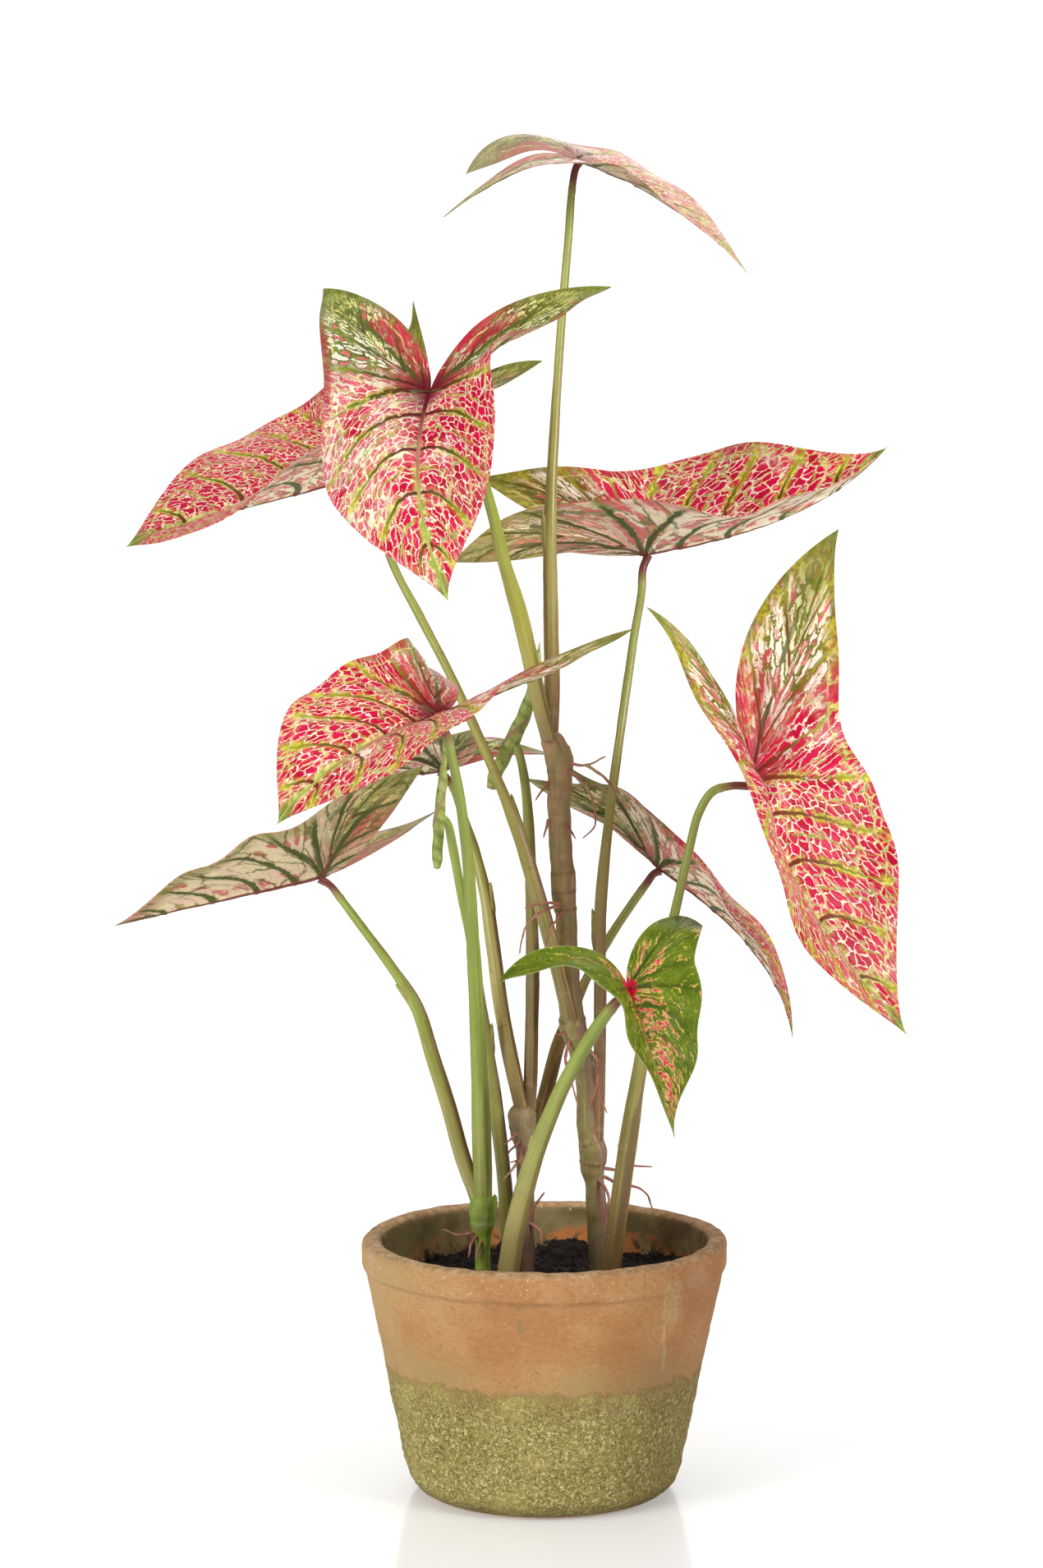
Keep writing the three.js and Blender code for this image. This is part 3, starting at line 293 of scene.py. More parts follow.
def turn_pot():
    outline = pot_profile()
    points, wear = [], []
    for ring, (radius, height) in enumerate(outline):
        outer = ring < RIM_RING and radius > max(40, inside_radius(height) + 4) and height < POT_HEIGHT - 2.5
        for k in range(POT_SEGMENTS if radius > 0 else 1):
            angle = 2 * math.pi * k / POT_SEGMENTS
            x, y = math.cos(angle), math.sin(angle)
            r, z, crust, grain = radius, height, 0.0, 0.0
            if radius > 40 and height > 1.0:  # not under the foot, nor the middle of the floor
                out_of_round = 0.45 * noise.noise(Vector((x * 1.3, y * 1.3, z / 60)))
                thrown = 0.16 * noise.noise(Vector((x * 0.8, y * 0.8, z / 2.6)))
                worn = 0.22 * lumps(x * radius, y * radius, z, 9.0, 4)
                r += out_of_round + thrown + worn
                if outer:
                    crust, grain = crust_at(x * radius, y * radius, z)
                    thick = 0.15 + 0.70 * grain + 0.40 * lumps(x * radius, y * radius, z, 6.0)
                    r += crust * thick * min(z / 4.0, 1.0)
                    pits = noise.voronoi(Vector((x * radius, y * radius, z)) / 11.0)[0][0]
                    r -= (1 - crust) * 0.5 * max(0.0, 1.0 - pits / 0.09)
                if height > POT_HEIGHT - COLLAR_HEIGHT:
                    rise = (height - POT_HEIGHT + COLLAR_HEIGHT) / COLLAR_HEIGHT
                    z += rise * (0.75 * noise.noise(Vector((x * 1.9 + 3, y * 1.9, 0.5)))
                                 + 0.30 * lumps(x * 75, y * 75, z, 8.0, 3))
                    chip = noise.noise(Vector((x * 6.5, y * 6.5, 4.0)))
                    z -= rise ** 4 * 0.9 * max(0.0, chip - 0.35)
            inside = float(ring > RIM_RING and height > 20 and radius < POT_RIM_RADIUS - POT_WALL + 0.6)
            points.append((r * x, r * y, z))
            wear.append((crust, inside, grain))
    starts, index = [], 0
    for radius, _ in outline:
        starts.append(index)
        index += POT_SEGMENTS if radius > 0 else 1
    faces = []
    for ring, (a, b) in enumerate(zip(starts, starts[1:])):
        for k in range(POT_SEGMENTS):
            k2 = (k + 1) % POT_SEGMENTS
            if ring == 0:
                faces.append((a, b + k2, b + k))
            elif ring == len(outline) - 2:
                faces.append((b, a + k, a + k2))
            else:
                faces.append((a + k, a + k2, b + k2, b + k))
    return points, faces, wear


def note(mesh, label, values, on="POINT"):
    """Stores a number or a vector for each point or corner, for the finishes to read."""
    values = np.asarray(values, np.float32)
    kind, slot = ("FLOAT_VECTOR", "vector") if values.ndim == 2 else ("FLOAT", "value")
    mesh.attributes.new(label, kind, on).data.foreach_set(slot, np.ascontiguousarray(values).ravel())


def make_piece(name, points_mm, faces, finishes, facts=None, sharp=None):
    """A mesh object from points in millimetres, with facts stored on its points."""
    mesh = bpy.data.meshes.new(name)
    mesh.from_pydata([(x / 1000, y / 1000, z / 1000) for x, y, z in points_mm], [], faces)
    for label, values in (facts or {}).items():
        note(mesh, label, values)
    for finish in finishes:
        mesh.materials.append(finish)
    mesh.shade_smooth()
    if sharp:
        mesh.set_sharp_from_angle(angle=math.radians(sharp))
    piece = bpy.data.objects.new(name, mesh)
    scene.collection.objects.link(piece)
    return piece


terracotta, clay = make_finish("weathered_terracotta")
where = clay.place()
x, y, z = where.parts()
crust, inside, grain = clay.attribute("wear").parts()
broad = where.noise(28.0, 5.0, 0.55)
colour = clay.mix(broad.smooth(0.35, 0.68), (0.455, 0.215, 0.082), (0.545, 0.3, 0.128))
wheel = where.vector("MULTIPLY", (16.0, 16.0, 330.0))
colour = colour.lay(wheel.noise(1.0, 4.0, 0.6).smooth(0.46, 0.8) * 0.35, (0.5, 0.31, 0.14))
sandy = where.vector("MULTIPLY", (1.0, 1.0, 1.6)).noise(420.0, 5.0, 0.75)
colour = colour.lay(sandy.smooth(0.5, 0.36) * 0.55, (0.33, 0.165, 0.065))
colour = colour.lay(sandy.smooth(0.56, 0.7) * 0.45, (0.66, 0.45, 0.24))
film_left = x.smooth(-0.03, -0.066) * where.noise(26.0, 5.0, 0.6).smooth(0.34, 0.6)
colour = colour.lay(film_left * 0.55, (0.47, 0.335, 0.15))
bloom = where.noise(60.0, 6.0, 0.65).smooth(0.5, 0.72) * z.smooth(0.086, 0.104)
colour = colour.lay(bloom * 0.7, (0.56, 0.37, 0.22))
flecks = where.noise(640.0, 4.0, 0.8).smooth(0.6, 0.66) * z.smooth(0.088, 0.097)
flecks = flecks * where.noise(40.0, 3.0).smooth(0.4, 0.56)
colour = colour.lay(flecks, (0.7, 0.56, 0.38))
# painted shade: a dark line under the collar's overhanging step
collar_step_shade = abs(where.noise(60.0, 3.0) * 0.0016 + z - 0.0936)
collar_step_shade = collar_step_shade.smooth(0.0013, 0.0002) * where.noise(40.0, 4.0).smooth(0.36, 0.6)
colour = colour.lay(collar_step_shade * 0.42, (0.28, 0.15, 0.062))
warp = where.noise(520.0, 4.0, 0.65, 1).vector("MULTIPLY", (0.0022, 0.0022, 0.0022))
bent = where.vector("ADD", warp)
pit = clay.value("ShaderNodeTexVoronoi", {"Vector": bent, "Scale": 470.0}, output="Distance")
rare = where.noise(62.0).smooth(0.52, 0.62)
pit = pit.smooth(0.2, 0.08) * rare
colour = colour.lay(pit * 0.8, (0.16, 0.095, 0.04))
# a greenish vertical scrape in front and a rubbed patch on the right
front = y.smooth(-0.03, -0.05)


def box_mark(across, along, half_width, low, high, ragged):
    """A soft-edged upright mark on the pot's front."""
    wavy = where.noise(110.0, 3.0) * 0.004 - 0.002
    away = abs(across + wavy - along)
    side = away.smooth(half_width, half_width * 0.4)
    height = z.smooth(low, low + 0.002) * z.smooth(high, high - 0.002)
    torn = where.noise(ragged, 4.0, 0.7).smooth(0.42, 0.56)
    return side * height * (torn * front)


colour = colour.lay(box_mark(x, -0.01, 0.0012, 0.08, 0.0925, 260.0) * 0.75, (0.27, 0.215, 0.09))
colour = colour.lay(box_mark(x, 0.051, 0.005, 0.079, 0.099, 620.0) * 0.6, (0.52, 0.42, 0.2))
colour = colour.lay(box_mark(x, 0.0475, 0.0009, 0.058, 0.094, 150.0) * 0.8, (0.56, 0.42, 0.21))
green_drift = z.smooth(0.076, 0.054) * where.noise(34.0, 5.0, 0.6).smooth(0.32, 0.66)
colour = colour.lay(green_drift * 0.8, (0.385, 0.275, 0.115))
# the crust: a khaki film, and over it pale flakes parted by dark cracks; the pale flakes are partly painted
# highlight and the dark cracks partly painted shade
plates = bent.noise(640.0, 3.0, 0.55)
small = clay.value("ShaderNodeTexVoronoi", {"Vector": bent, "Scale": 820.0}, feature="DISTANCE_TO_EDGE",
                   output="Distance")
grains = where.noise(700.0, 5.0, 0.75)
broken = where.noise(46.0, 4.0, 0.6).smooth(0.26, 0.5) * z.smooth(0.06, 0.044)
crusted = clay.mix(where.noise(30.0, 4.0, 0.6).smooth(0.36, 0.66), (0.68, 0.565, 0.175), (0.57, 0.465, 0.13))
crusted = crusted.lay(grains.smooth(0.5, 0.38) * 0.5, (0.27, 0.22, 0.075))
crusted = crusted.lay(grains.smooth(0.54, 0.68) * 0.6, (0.74, 0.63, 0.26))
# pale flakes: partly the crust's own colour, partly painted highlight
pale_flake_and_highlight = plates.smooth(0.51, 0.58) * (grain * 0.5 + 0.7)
crusted = crusted.lay(pale_flake_and_highlight * broken * 0.85, (0.92, 0.8, 0.38))
parted = where.noise(420.0, 3.0, 0.6).smooth(0.42, 0.6) * 0.8 + 0.2
winding = abs(plates - 0.49).smooth(0.022, 0.004)
# dark cracks: partly the crust's own colour, partly painted shade
crack_and_shade = (small.smooth(0.12, 0.02) * parted).or_more(winding * 0.75)
crack_and_shade = crack_and_shade * (broken * 0.8 + 0.08)
crusted = crusted.lay(crack_and_shade, (0.205, 0.148, 0.046))
foot = z.smooth(0.01, 0.002)
crusted = crusted.lay(foot * 0.6, (0.185, 0.155, 0.045))
rusted = z.smooth(0.036, 0.052) * where.noise(80.0, 4.0, 0.6).smooth(0.4, 0.6)
crusted = crusted.lay(rusted * 0.5, (0.42, 0.27, 0.105))
ragged = where.noise(330.0, 4.0, 0.7) * 1.5 - 0.75
cover = (crust + ragged).smooth(0.2, 0.72)
colour = colour.lay(cover, crusted)
# the inner wall: a brown-green film, rubbed back to orange clay above the soil
film = clay.mix(where.noise(55.0, 5.0, 0.6).smooth(0.4, 0.62), (0.155, 0.115, 0.042), (0.25, 0.185, 0.08))
bare_top = where.noise(24.0, 4.0, 0.6) * 0.03 + 0.08
bare = (z - bare_top).smooth(0.0012, -0.0012) * where.noise(40.0, 5.0, 0.65).smooth(0.38, 0.52)
bare = bare * (x.smooth(-0.05, -0.018) * 0.7 + 0.3)
film = film.lay(bare, (0.44, 0.165, 0.045))
smudge = z.smooth(0.097, 0.087) * where.noise(190.0, 4.0, 0.7).smooth(0.52, 0.6)
film = film.lay(smudge, (0.03, 0.02, 0.014))
film = film.lay(where.noise(230.0, 3.0).smooth(0.68, 0.74), (0.45, 0.38, 0.25))
colour = colour.lay(inside, film)
rim_top = z.smooth(0.1026, 0.1046)
rim_tone = clay.mix(where.noise(300.0, 5.0, 0.75).smooth(0.4, 0.62), (0.31, 0.18, 0.085), (0.56, 0.395, 0.225))
colour = colour.lay(rim_top * 0.8, rim_tone)
fine = pit * -2.0 + where.noise(700.0, 4.0, 0.65)
surface = clay.bump(fine, 0.35, 0.0004)
rugged = crack_and_shade * -0.9 + (grains * 0.6 + plates * 1.6)
surface = clay.bump(rugged * cover, 0.9, 0.0012, surface)
# painted shade: the pot's right side, away from the main lamp, is darkened
painted_shade_right = (x + (where.noise(18.0, 3.0) * 0.05 - 0.025)).smooth(0.016, 0.056)
colour = colour.lay(painted_shade_right * 0.9, (0.72, 0.66, 0.64), "MULTIPLY")
coat(clay, colour, broad * 0.2 + 0.72, surface, specular=0.22)

points, faces, wear = turn_pot()
pot = make_piece("pot_worn", points, faces, [terracotta], {"wear": wear})
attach(pot, "root")
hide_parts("pot")

# ------------------------------------------------------------------ soil
# Loose black peat, filled to about 19 mm under the rim and heaped a little against the back
# wall. Its surface is shaped first, then crumbs and small clods are strewn over it.

POT_FILL = 86.0
HEAPS = [  # x, y, width and rise
    (8.0, 57.0, 6.0, 5.5), (16.0, 52.0, 5.0, 3.5), (56.0, 24.0, 5.5, 6.5), (47.0, 37.0, 5.5, 4.5),
    (-27.0, 52.0, 4.5, 5.0), (-57.0, 14.0, 5.0, 3.0),
]


def soil_height(x, y):
    broad = math.sin(0.21 * x + 1.3) * math.cos(0.17 * y - 0.4)
    heaped = sum(rise * math.exp(-((x - hx) ** 2 + (y - hy) ** 2) / width ** 2) for hx, hy, width, rise in HEAPS)
    return POT_FILL + 1.1 * (broad + 0.6 * math.sin(0.43 * x - 0.31 * y)) + heaped


def fill_pot():
    rings, segments = 46, 150
    edge = inside_radius(POT_FILL) - 0.2
    points, faces, under = [(0.0, 0.0, soil_height(0, 0))], [], POT_FLOOR + 0.3
    for radius, height in (*((edge * ring / rings, None) for ring in range(1, rings + 1)),
                           (inside_radius(14.0) - 0.3, 14.0), (inside_radius(POT_FLOOR) - 5.4, under)):
        for k in range(segments):
            angle = 2 * math.pi * k / segments
            x, y = radius * math.cos(angle), radius * math.sin(angle)
            if height is None:  # on top: lumpy
                rough = 1.3 * lumps(x, y, 0.0, 5.5, 4) + 0.7 * noise.noise(Vector((x, y, 3.0)) / 1.9)
            points.append((x, y, soil_height(x, y) + rough if height is None else height))
    points.append((0.0, 0.0, under))
    for k in range(segments):
        k2 = (k + 1) % segments
        faces.append((0, 1 + k, 1 + k2))
        for ring in range(rings + 1):
            a, b = 1 + ring * segments, 1 + (ring + 1) * segments
            faces.append((a + k, b + k, b + k2, a + k2))
        last = 1 + (rings + 1) * segments
        faces.append((len(points) - 1, last + k2, last + k))
    return points, faces


peat, mould = make_finish("black_peat")
where = mould.place()
clods = where.noise(260.0, 6.0, 0.7)
colour = mould.mix(clods.smooth(0.42, 0.7), (0.007, 0.0045, 0.0035), (0.028, 0.018, 0.012))
fibre = where.vector("MULTIPLY", (300.0, 1100.0, 700.0)).noise(1.0, 2.0)
colour = colour.lay(fibre.smooth(0.69, 0.75) * 0.6, (0.16, 0.095, 0.05))
coat(mould, colour, clods * 0.3 + 0.62, mould.bump(clods, 0.8, 0.0016), specular=0.25)


def open_tree(name, **sockets):
    """A geometry tree with named inputs; gives its nodes and its inputs by name."""
    tree = bpy.data.node_groups.new(name, "GeometryNodeTree")
    for kind, labels in {"Geometry": ("Geometry",), **sockets, "Material": ("Finish",)}.items():
        for label in labels:
            tree.interface.new_socket(label, in_out="INPUT", socket_type="NodeSocket" + kind)
    tree.interface.new_socket("Geometry", in_out="OUTPUT", socket_type="NodeSocketGeometry")
    nodes = Nodes(tree)
    return tree, nodes, nodes.outputs("NodeGroupInput")


def close_tree(nodes, geometry, finish):
    """Every tree ends the same way: real geometry, smooth, with its finish on it."""
    real = nodes.value("GeometryNodeRealizeInstances", {"Geometry": geometry})
    eased = nodes.value("GeometryNodeSetShadeSmooth", {"Geometry": real})
    dressed = nodes.value("GeometryNodeSetMaterial", {"Geometry": eased, "Material": finish})
    nodes.add("NodeGroupOutput", {"Geometry": dressed})


def grow(name, start, tree, **sizes):
    """Runs a geometry tree on an object and keeps the result as a plain mesh."""
    labels = {item.name: item.identifier for item in tree.interface.items_tree if item.in_out == "INPUT"}
    modifier = start.modifiers.new("grow", "NODES")
    modifier.node_group = tree
    for label, value in sizes.items():
        modifier[labels[label.replace("_", " ")]] = value
    drawn = bpy.context.evaluated_depsgraph_get()
    mesh = bpy.data.meshes.new_from_object(start.evaluated_get(drawn), preserve_all_data_layers=True,
                                           depsgraph=drawn)
    start.modifiers.clear()
    bpy.data.objects.remove(start)
    mesh.name = name
    piece = bpy.data.objects.new(name, mesh)
    scene.collection.objects.link(piece)
    return piece


strew, loose, given = open_tree("strewn_crumbs", Float=("Per Square Metre", "Clods Per Square Metre",
                                                        "Crumb Size", "Clod Size"), Int=("Seed",))
upward = loose.value("GeometryNodeInputNormal").parts()[2]
on_top = upward > 0.35
heaps = [given["Geometry"]]
for count, size, fineness, smallest in (("Per Square Metre", "Crumb Size", 1, 0.45),
                                        ("Clods Per Square Metre", "Clod Size", 2, 0.30)):
    spots = loose.value("GeometryNodeDistributePointsOnFaces",
                      {"Mesh": given["Geometry"], "Selection": on_top, "Density": given[count],
                       "Seed": given["Seed"]})
    lump = loose.value("GeometryNodeMeshIcoSphere", {"Radius": 1.0, "Subdivisions": fineness})
    bulge = loose.value("GeometryNodeInputPosition").noise(1.9, 3.0, 0.7, 1).vector("SUBTRACT", (0.5, 0.5, 0.5))
    lump = loose.value("GeometryNodeSetPosition", {"Geometry": lump, "Offset": bulge.enlarged(1.7)})
    turn = loose.value("FunctionNodeRandomValue", {1: (6.28, 6.28, 6.28), "Seed": given["Seed"]},
                       data_type="FLOAT_VECTOR")
    small, large = given[size] * smallest, given[size]
    grade = loose.value("FunctionNodeRandomValue", {2: small, 3: large, "Seed": given["Seed"]},
                        data_type="FLOAT", output=1)
    heaps.append(loose.value("GeometryNodeInstanceOnPoints",
                             {"Points": spots, "Instance": lump, "Rotation": turn, "Scale": grade}))
together = loose.add("GeometryNodeJoinGeometry")
for heap in heaps:
    loose.fill(together.inputs[0], heap)
close_tree(loose, Value(loose, together.outputs[0]), given["Finish"])

points, faces = fill_pot()
bed = make_piece("soil_bed", points, faces, [peat])
soil = grow("soil_loose", bed, strew, Per_Square_Metre=160000.0, Clods_Per_Square_Metre=13000.0,
            Crumb_Size=0.0012, Clod_Size=0.0033, Seed=7, Finish=peat)
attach(soil, "root")
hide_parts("soil")

# ------------------------------------------------------------------ canes
# Three jointed stems, scarred in rings where old leaves fell, knuckled at each joint and
# furrowed between, brown and mauve with grey-green skin. They grow; their tops are rounded.

CANES = {  # x, y, z and radius in millimetres, from the foot up
    "cane_a": [
        (-25, -15, 89.2, 3.7), (-25, -15, 101.0, 3.2), (-25, -15, 107.6, 3.5), (-25.2, -15, 112.6, 4.7),
        (-25.2, -15, 117.6, 5.5), (-25.2, -15, 122.0, 5.0), (-25.3, -15, 127.0, 3.6),
    ],
    "cane_b": [
        (-7.3, 0, 85.9, 4.1), (-7.6, 0, 99.6, 3.7), (-7.6, 0, 126.9, 3.5), (-7.6, 0, 140.6, 4),
        (-8.6, 0, 148.1, 5.4), (-9, 0, 154.9, 5.9), (-8.6, 0, 160.3, 5),
    ],
    "cane_c": [
        (23.2, 6, 84.5, 4.7), (22.5, 6, 101.7, 4.4), (20.8, 5, 125.9, 4.1), (20.1, 5, 132.1, 5.1),
        (20, 4, 139.8, 5.7), (18, 4, 147.3, 4.4), (17, 3, 167.3, 4), (14.6, 2, 182.8, 4.7),
        (11.8, 1, 191.4, 5.5), (11.2, 0, 197.6, 5), (9.5, 0, 215.2, 4.7), (8.8, 0, 238.9, 4.3),
        (8.1, 0, 245.6, 5), (7.7, 0, 251.7, 5.2), (7.1, 0, 260.7, 4.7), (6, -1, 281, 4.7),
        (6.4, -1, 294.4, 5), (6, -1, 301.1, 5.7), (3.7, -2, 307.8, 5), (1.7, -3, 312.9, 4.7),
    ],
}
CANE_SKIN = {  # low, middle and upper colour
    "cane_a": [(0.360, 0.350, 0.070), (0.240, 0.360, 0.026), (0.250, 0.380, 0.030)],
    "cane_b": [(0.160, 0.070, 0.032), (0.320, 0.190, 0.110), (0.400, 0.290, 0.145)],
    "cane_c": [(0.240, 0.180, 0.050), (0.370, 0.300, 0.090), (0.500, 0.295, 0.140)],
}
# how brown-red a cane is down one side: right if the number is above 0, left if below
RUDDY_SIDE = {"cane_a": 0.0, "cane_b": -1.3, "cane_c": 1.3}
BUDS = {  # the height of each bud and the way it faces, in degrees
    "cane_a": [(117.5, 20)], "cane_b": [(150.0, -60)],
    "cane_c": [(138.0, -150), (191.0, -70), (249.0, -40), (299.0, 160)],
}
SOIL_DEPTH = 66.0  # how low the stems that stand in the soil reach


def smooth_path(route, step):
    """Points, radii and directions along a smooth curve through a route of x, y, z, radius."""
    knots = np.array([stop[:3] for stop in route], float)
    radii = np.array([stop[3] if len(stop) > 3 else 0.0 for stop in route], float)
    ends = np.vstack([2 * knots[0] - knots[1], knots, 2 * knots[-1] - knots[-2]])
    points, sizes = [], []
    for i in range(len(knots) - 1):
        p0, p1, p2, p3 = ends[i:i + 4]
        d0, d1, d2 = (max(np.linalg.norm(b - a) ** 0.5, 1e-3) for a, b in ((p0, p1), (p1, p2), (p2, p3)))
        t1 = ((p1 - p0) / d0 - (p2 - p0) / (d0 + d1) + (p2 - p1) / d1) * d1
        t2 = ((p2 - p1) / d1 - (p3 - p1) / (d1 + d2) + (p3 - p2) / d2) * d1
        count = max(2, int(round(np.linalg.norm(p2 - p1) / step)))
        t = np.arange(count + (i == len(knots) - 2))[:, None] / count
        points.append(p1 + t1 * t + (3 * (p2 - p1) - 2 * t1 - t2) * t ** 2 + (2 * (p1 - p2) + t1 + t2) * t ** 3)
        eased = t[:, 0] ** 2 * (3 - 2 * t[:, 0])
        sizes.append(radii[i] + (radii[i + 1] - radii[i]) * eased)
    points, sizes = np.vstack(points), np.concatenate(sizes)
    heading = np.gradient(points, axis=0)
    return points, sizes, heading / np.linalg.norm(heading, axis=1, keepdims=True)


def strand(route, step=1.0, tint=(1.0, 1.0, 1.0), ring=None, cleft=None, cleft_side=(0.0, -1.0, 0.0),
           blush=None, ruddy=0.0, blunt=0.0):
    """One stem for the sweeping tree: its path, thickness and what its skin shows along it."""
    points, sizes, heading = smooth_path(route, step)
    run = np.concatenate([[0.0], np.cumsum(np.linalg.norm(np.diff(points, axis=0), axis=1))])
    if blunt:  # a rounded end instead of a cut one
        left = np.clip((run[-1] - run) / blunt, 0.0, 1.0)
        sizes = sizes * np.sqrt(np.clip(1 - (1 - left) ** 2, 0.01, 1.0))
    tint = np.atleast_2d(np.array(tint, float))
    place = np.linspace(0.0, 1.0, len(tint)) if len(tint) > 1 else np.array([0.0])
    share = run / run[-1]
    colours = np.stack([np.interp(share, place, tint[:, c]) for c in range(3)], axis=1)
    give = lambda rule: rule(points[:, 2], run, run[-1]) if rule else np.zeros(len(run))
    shifted = run + 10 * points[0, 0]  # so that no two stems share their streaks
    return dict(points=points, thickness=sizes / 1000, length=shifted / 1000, tint=colours,
                ring=give(ring), cleft=give(cleft), blush=give(blush),
                ruddy=ruddy * np.interp(share, (0.0, 0.55, 1.0), (1.0, 0.8, 0.1)),
                cleft_side=np.tile(np.array(cleft_side, float) / np.linalg.norm(cleft_side), (len(run), 1)))


def lay_paths(name, strands):
    """The paths of several strands as one wire object that carries their facts on its points."""
    points = np.vstack([s["points"] for s in strands]) / 1000
    edges, first = [], 0
    for s in strands:
        edges += [(first + i, first + i + 1) for i in range(len(s["points"]) - 1)]
        first += len(s["points"])
    mesh = bpy.data.meshes.new(name)
    mesh.from_pydata(points.tolist(), edges, [])
    for label in ("thickness", "length", "ring", "cleft", "blush", "ruddy", "tint", "cleft_side"):
        note(mesh, label, np.concatenate([s[label] for s in strands]))
    wire = bpy.data.objects.new(name, mesh)
    scene.collection.objects.link(wire)
    return wire


sweep, stem, given = open_tree("stem_along_path", Int=("Sides",), Float=(
    "Ring Height", "Cleft Depth", "Lip Height", "Furrow Depth", "Lump Height", "Lump Length"))


def carried(label, kind="FLOAT"):
    return stem.value("GeometryNodeInputNamedAttribute", {"Name": label}, data_type=kind)


def stored(geometry, label, value):
    return stem.value("GeometryNodeStoreNamedAttribute", {"Geometry": geometry, "Name": label, "Value": value},
                      data_type="FLOAT", domain="POINT")


path = stem.value("GeometryNodeMeshToCurve", {"Mesh": given["Geometry"]})
hoop = stem.value("GeometryNodeCurvePrimitiveCircle", {"Resolution": given["Sides"], "Radius": 1.0})
hoop = stored(hoop, "around", stem.value("GeometryNodeSplineParameter", output="Factor"))
rim_place = stem.value("GeometryNodeInputPosition").parts()
for axis, label in enumerate(("skin_x", "skin_y")):
    hoop = stored(hoop, label, rim_place[axis] * 0.0035)
skin = stem.value("GeometryNodeCurveToMesh",
                  {"Curve": path, "Profile Curve": hoop, "Scale": carried("thickness"), "Fill Caps": True})
outward = stem.value("GeometryNodeInputNormal")
facing = outward.vector("DOT_PRODUCT", carried("cleft_side", "FLOAT_VECTOR"))
split = facing.smooth(0.8, 0.97) * carried("cleft")
lip = facing.smooth(0.45, 0.72) * facing.smooth(0.93, 0.78) * carried("cleft")
turned = carried("around") * (6.2832 * 9)  # nine furrows round the stem
furrow = turned.math("SINE") * given["Furrow Depth"]
here = stem.value("GeometryNodeInputPosition")
lump = here.noise(1.0 / given["Lump Length"], 3.0) - 0.5
lift = lump.math("MULTIPLY_ADD", given["Lump Height"], furrow)
worn_ring = carried("ring") * here.noise(260.0, 2.0).smooth(0.3, 0.66)
lift = worn_ring.math("MULTIPLY_ADD", given["Ring Height"], lift)
lift = lip.math("MULTIPLY_ADD", given["Lip Height"], lift)
lift = lift - split * given["Cleft Depth"]
moved = outward.enlarged(lift)
skin = stored(skin, "hollow", split)
# how far the skin faces away from the main lamp; the stalk finish darkens that side as painted shade
skin = stored(skin, "away_from_lamp", outward.vector("DOT_PRODUCT", (0.95, 0.25, 0.0)))
skin = stem.value("GeometryNodeSetPosition", {"Geometry": skin, "Offset": moved})
close_tree(stem, skin, given["Finish"])


def stretched_noise(nodes, across, along):
    """Fine streaks that run up a stem, whichever way it leans."""
    skin_place = nodes.join(nodes.fact("skin_x"), nodes.fact("skin_y"),
                            nodes.fact("length"))
    return skin_place.vector("MULTIPLY", (across, across, along)).noise(1.0, 3.0, 0.6)


cane_bark, bark = make_finish("ringed_cane_skin")
where = bark.place()
tint = bark.attribute("tint")
mottle = where.noise(190.0, 5.0, 0.65)
colour = bark.mix(mottle.smooth(0.34, 0.62), bark.mix(0.3, tint, (0.09, 0.05, 0.022)), tint)
away_from_lamp = bark.fact("away_from_lamp")
streaks = stretched_noise(bark, 430.0, 22.0)
ruddy = bark.fact("ruddy")  # its sign says which side is the redder one
sided = away_from_lamp * (ruddy.math("SIGN") * 0.5)
ruddy = abs(ruddy) * (streaks * 1.6 + sided).smooth(0.66, 0.98)
colour = colour.lay(ruddy * 0.85, (0.3, 0.15, 0.1))
green = where.noise(120.0, 4.0, 0.6).smooth(0.47, 0.62)
colour = colour.lay(green * 0.5, (0.255, 0.26, 0.095))
grain_lines = stretched_noise(bark, 1100.0, 50.0)
woody = abs(bark.fact("ruddy")).or_less(1.0)
pale_lines = grain_lines.smooth(0.52, 0.68) * (woody * 0.4 + 0.12)
colour = colour.lay(pale_lines, (0.46, 0.36, 0.24))
colour = colour.lay(grain_lines.smooth(0.44, 0.3) * 0.3, (0.095, 0.055, 0.028))
specks = where.noise(620.0, 2.0).smooth(0.64, 0.7)
colour = colour.lay(specks * 0.3, (0.5, 0.42, 0.3))
scar = bark.fact("ring").smooth(0.3, 0.9) * streaks.smooth(0.38, 0.56)
scar = scar * (woody * 0.4 + 0.12)
colour = colour.lay(scar, (0.12, 0.065, 0.035))
# painted shade: the cane darkens towards the soil, where the pot shades it
pot_shade = where.parts()[2].smooth(0.128, 0.09) * (woody * 0.72 + 0.08)
colour = colour.lay(pot_shade, (0.06, 0.03, 0.012))
colour = colour.lay(bark.fact("hollow") * 0.7, (0.1, 0.04, 0.022))
surface = bark.bump(mottle + grain_lines * 0.8, 0.5, 0.0006)
coat(bark, colour, mottle * 0.25 + 0.38, surface)


def scars(heights, width=0.7):
    return lambda z, run, whole: sum(np.exp(-((z - h) / width) ** 2) for h in heights)


def deepened(route, height):
    """A route carried straight on from its foot down to a height."""
    (x, y, z, radius), after = route[0], route[1]
    slide = (height - z) / (after[2] - z)
    return [(x + (after[0] - x) * slide, y + (after[1] - y) * slide, height, radius), *route[1:]]


def facing_way(toward):
    return np.array([math.cos(math.radians(toward)), math.sin(math.radians(toward)), 0.0])


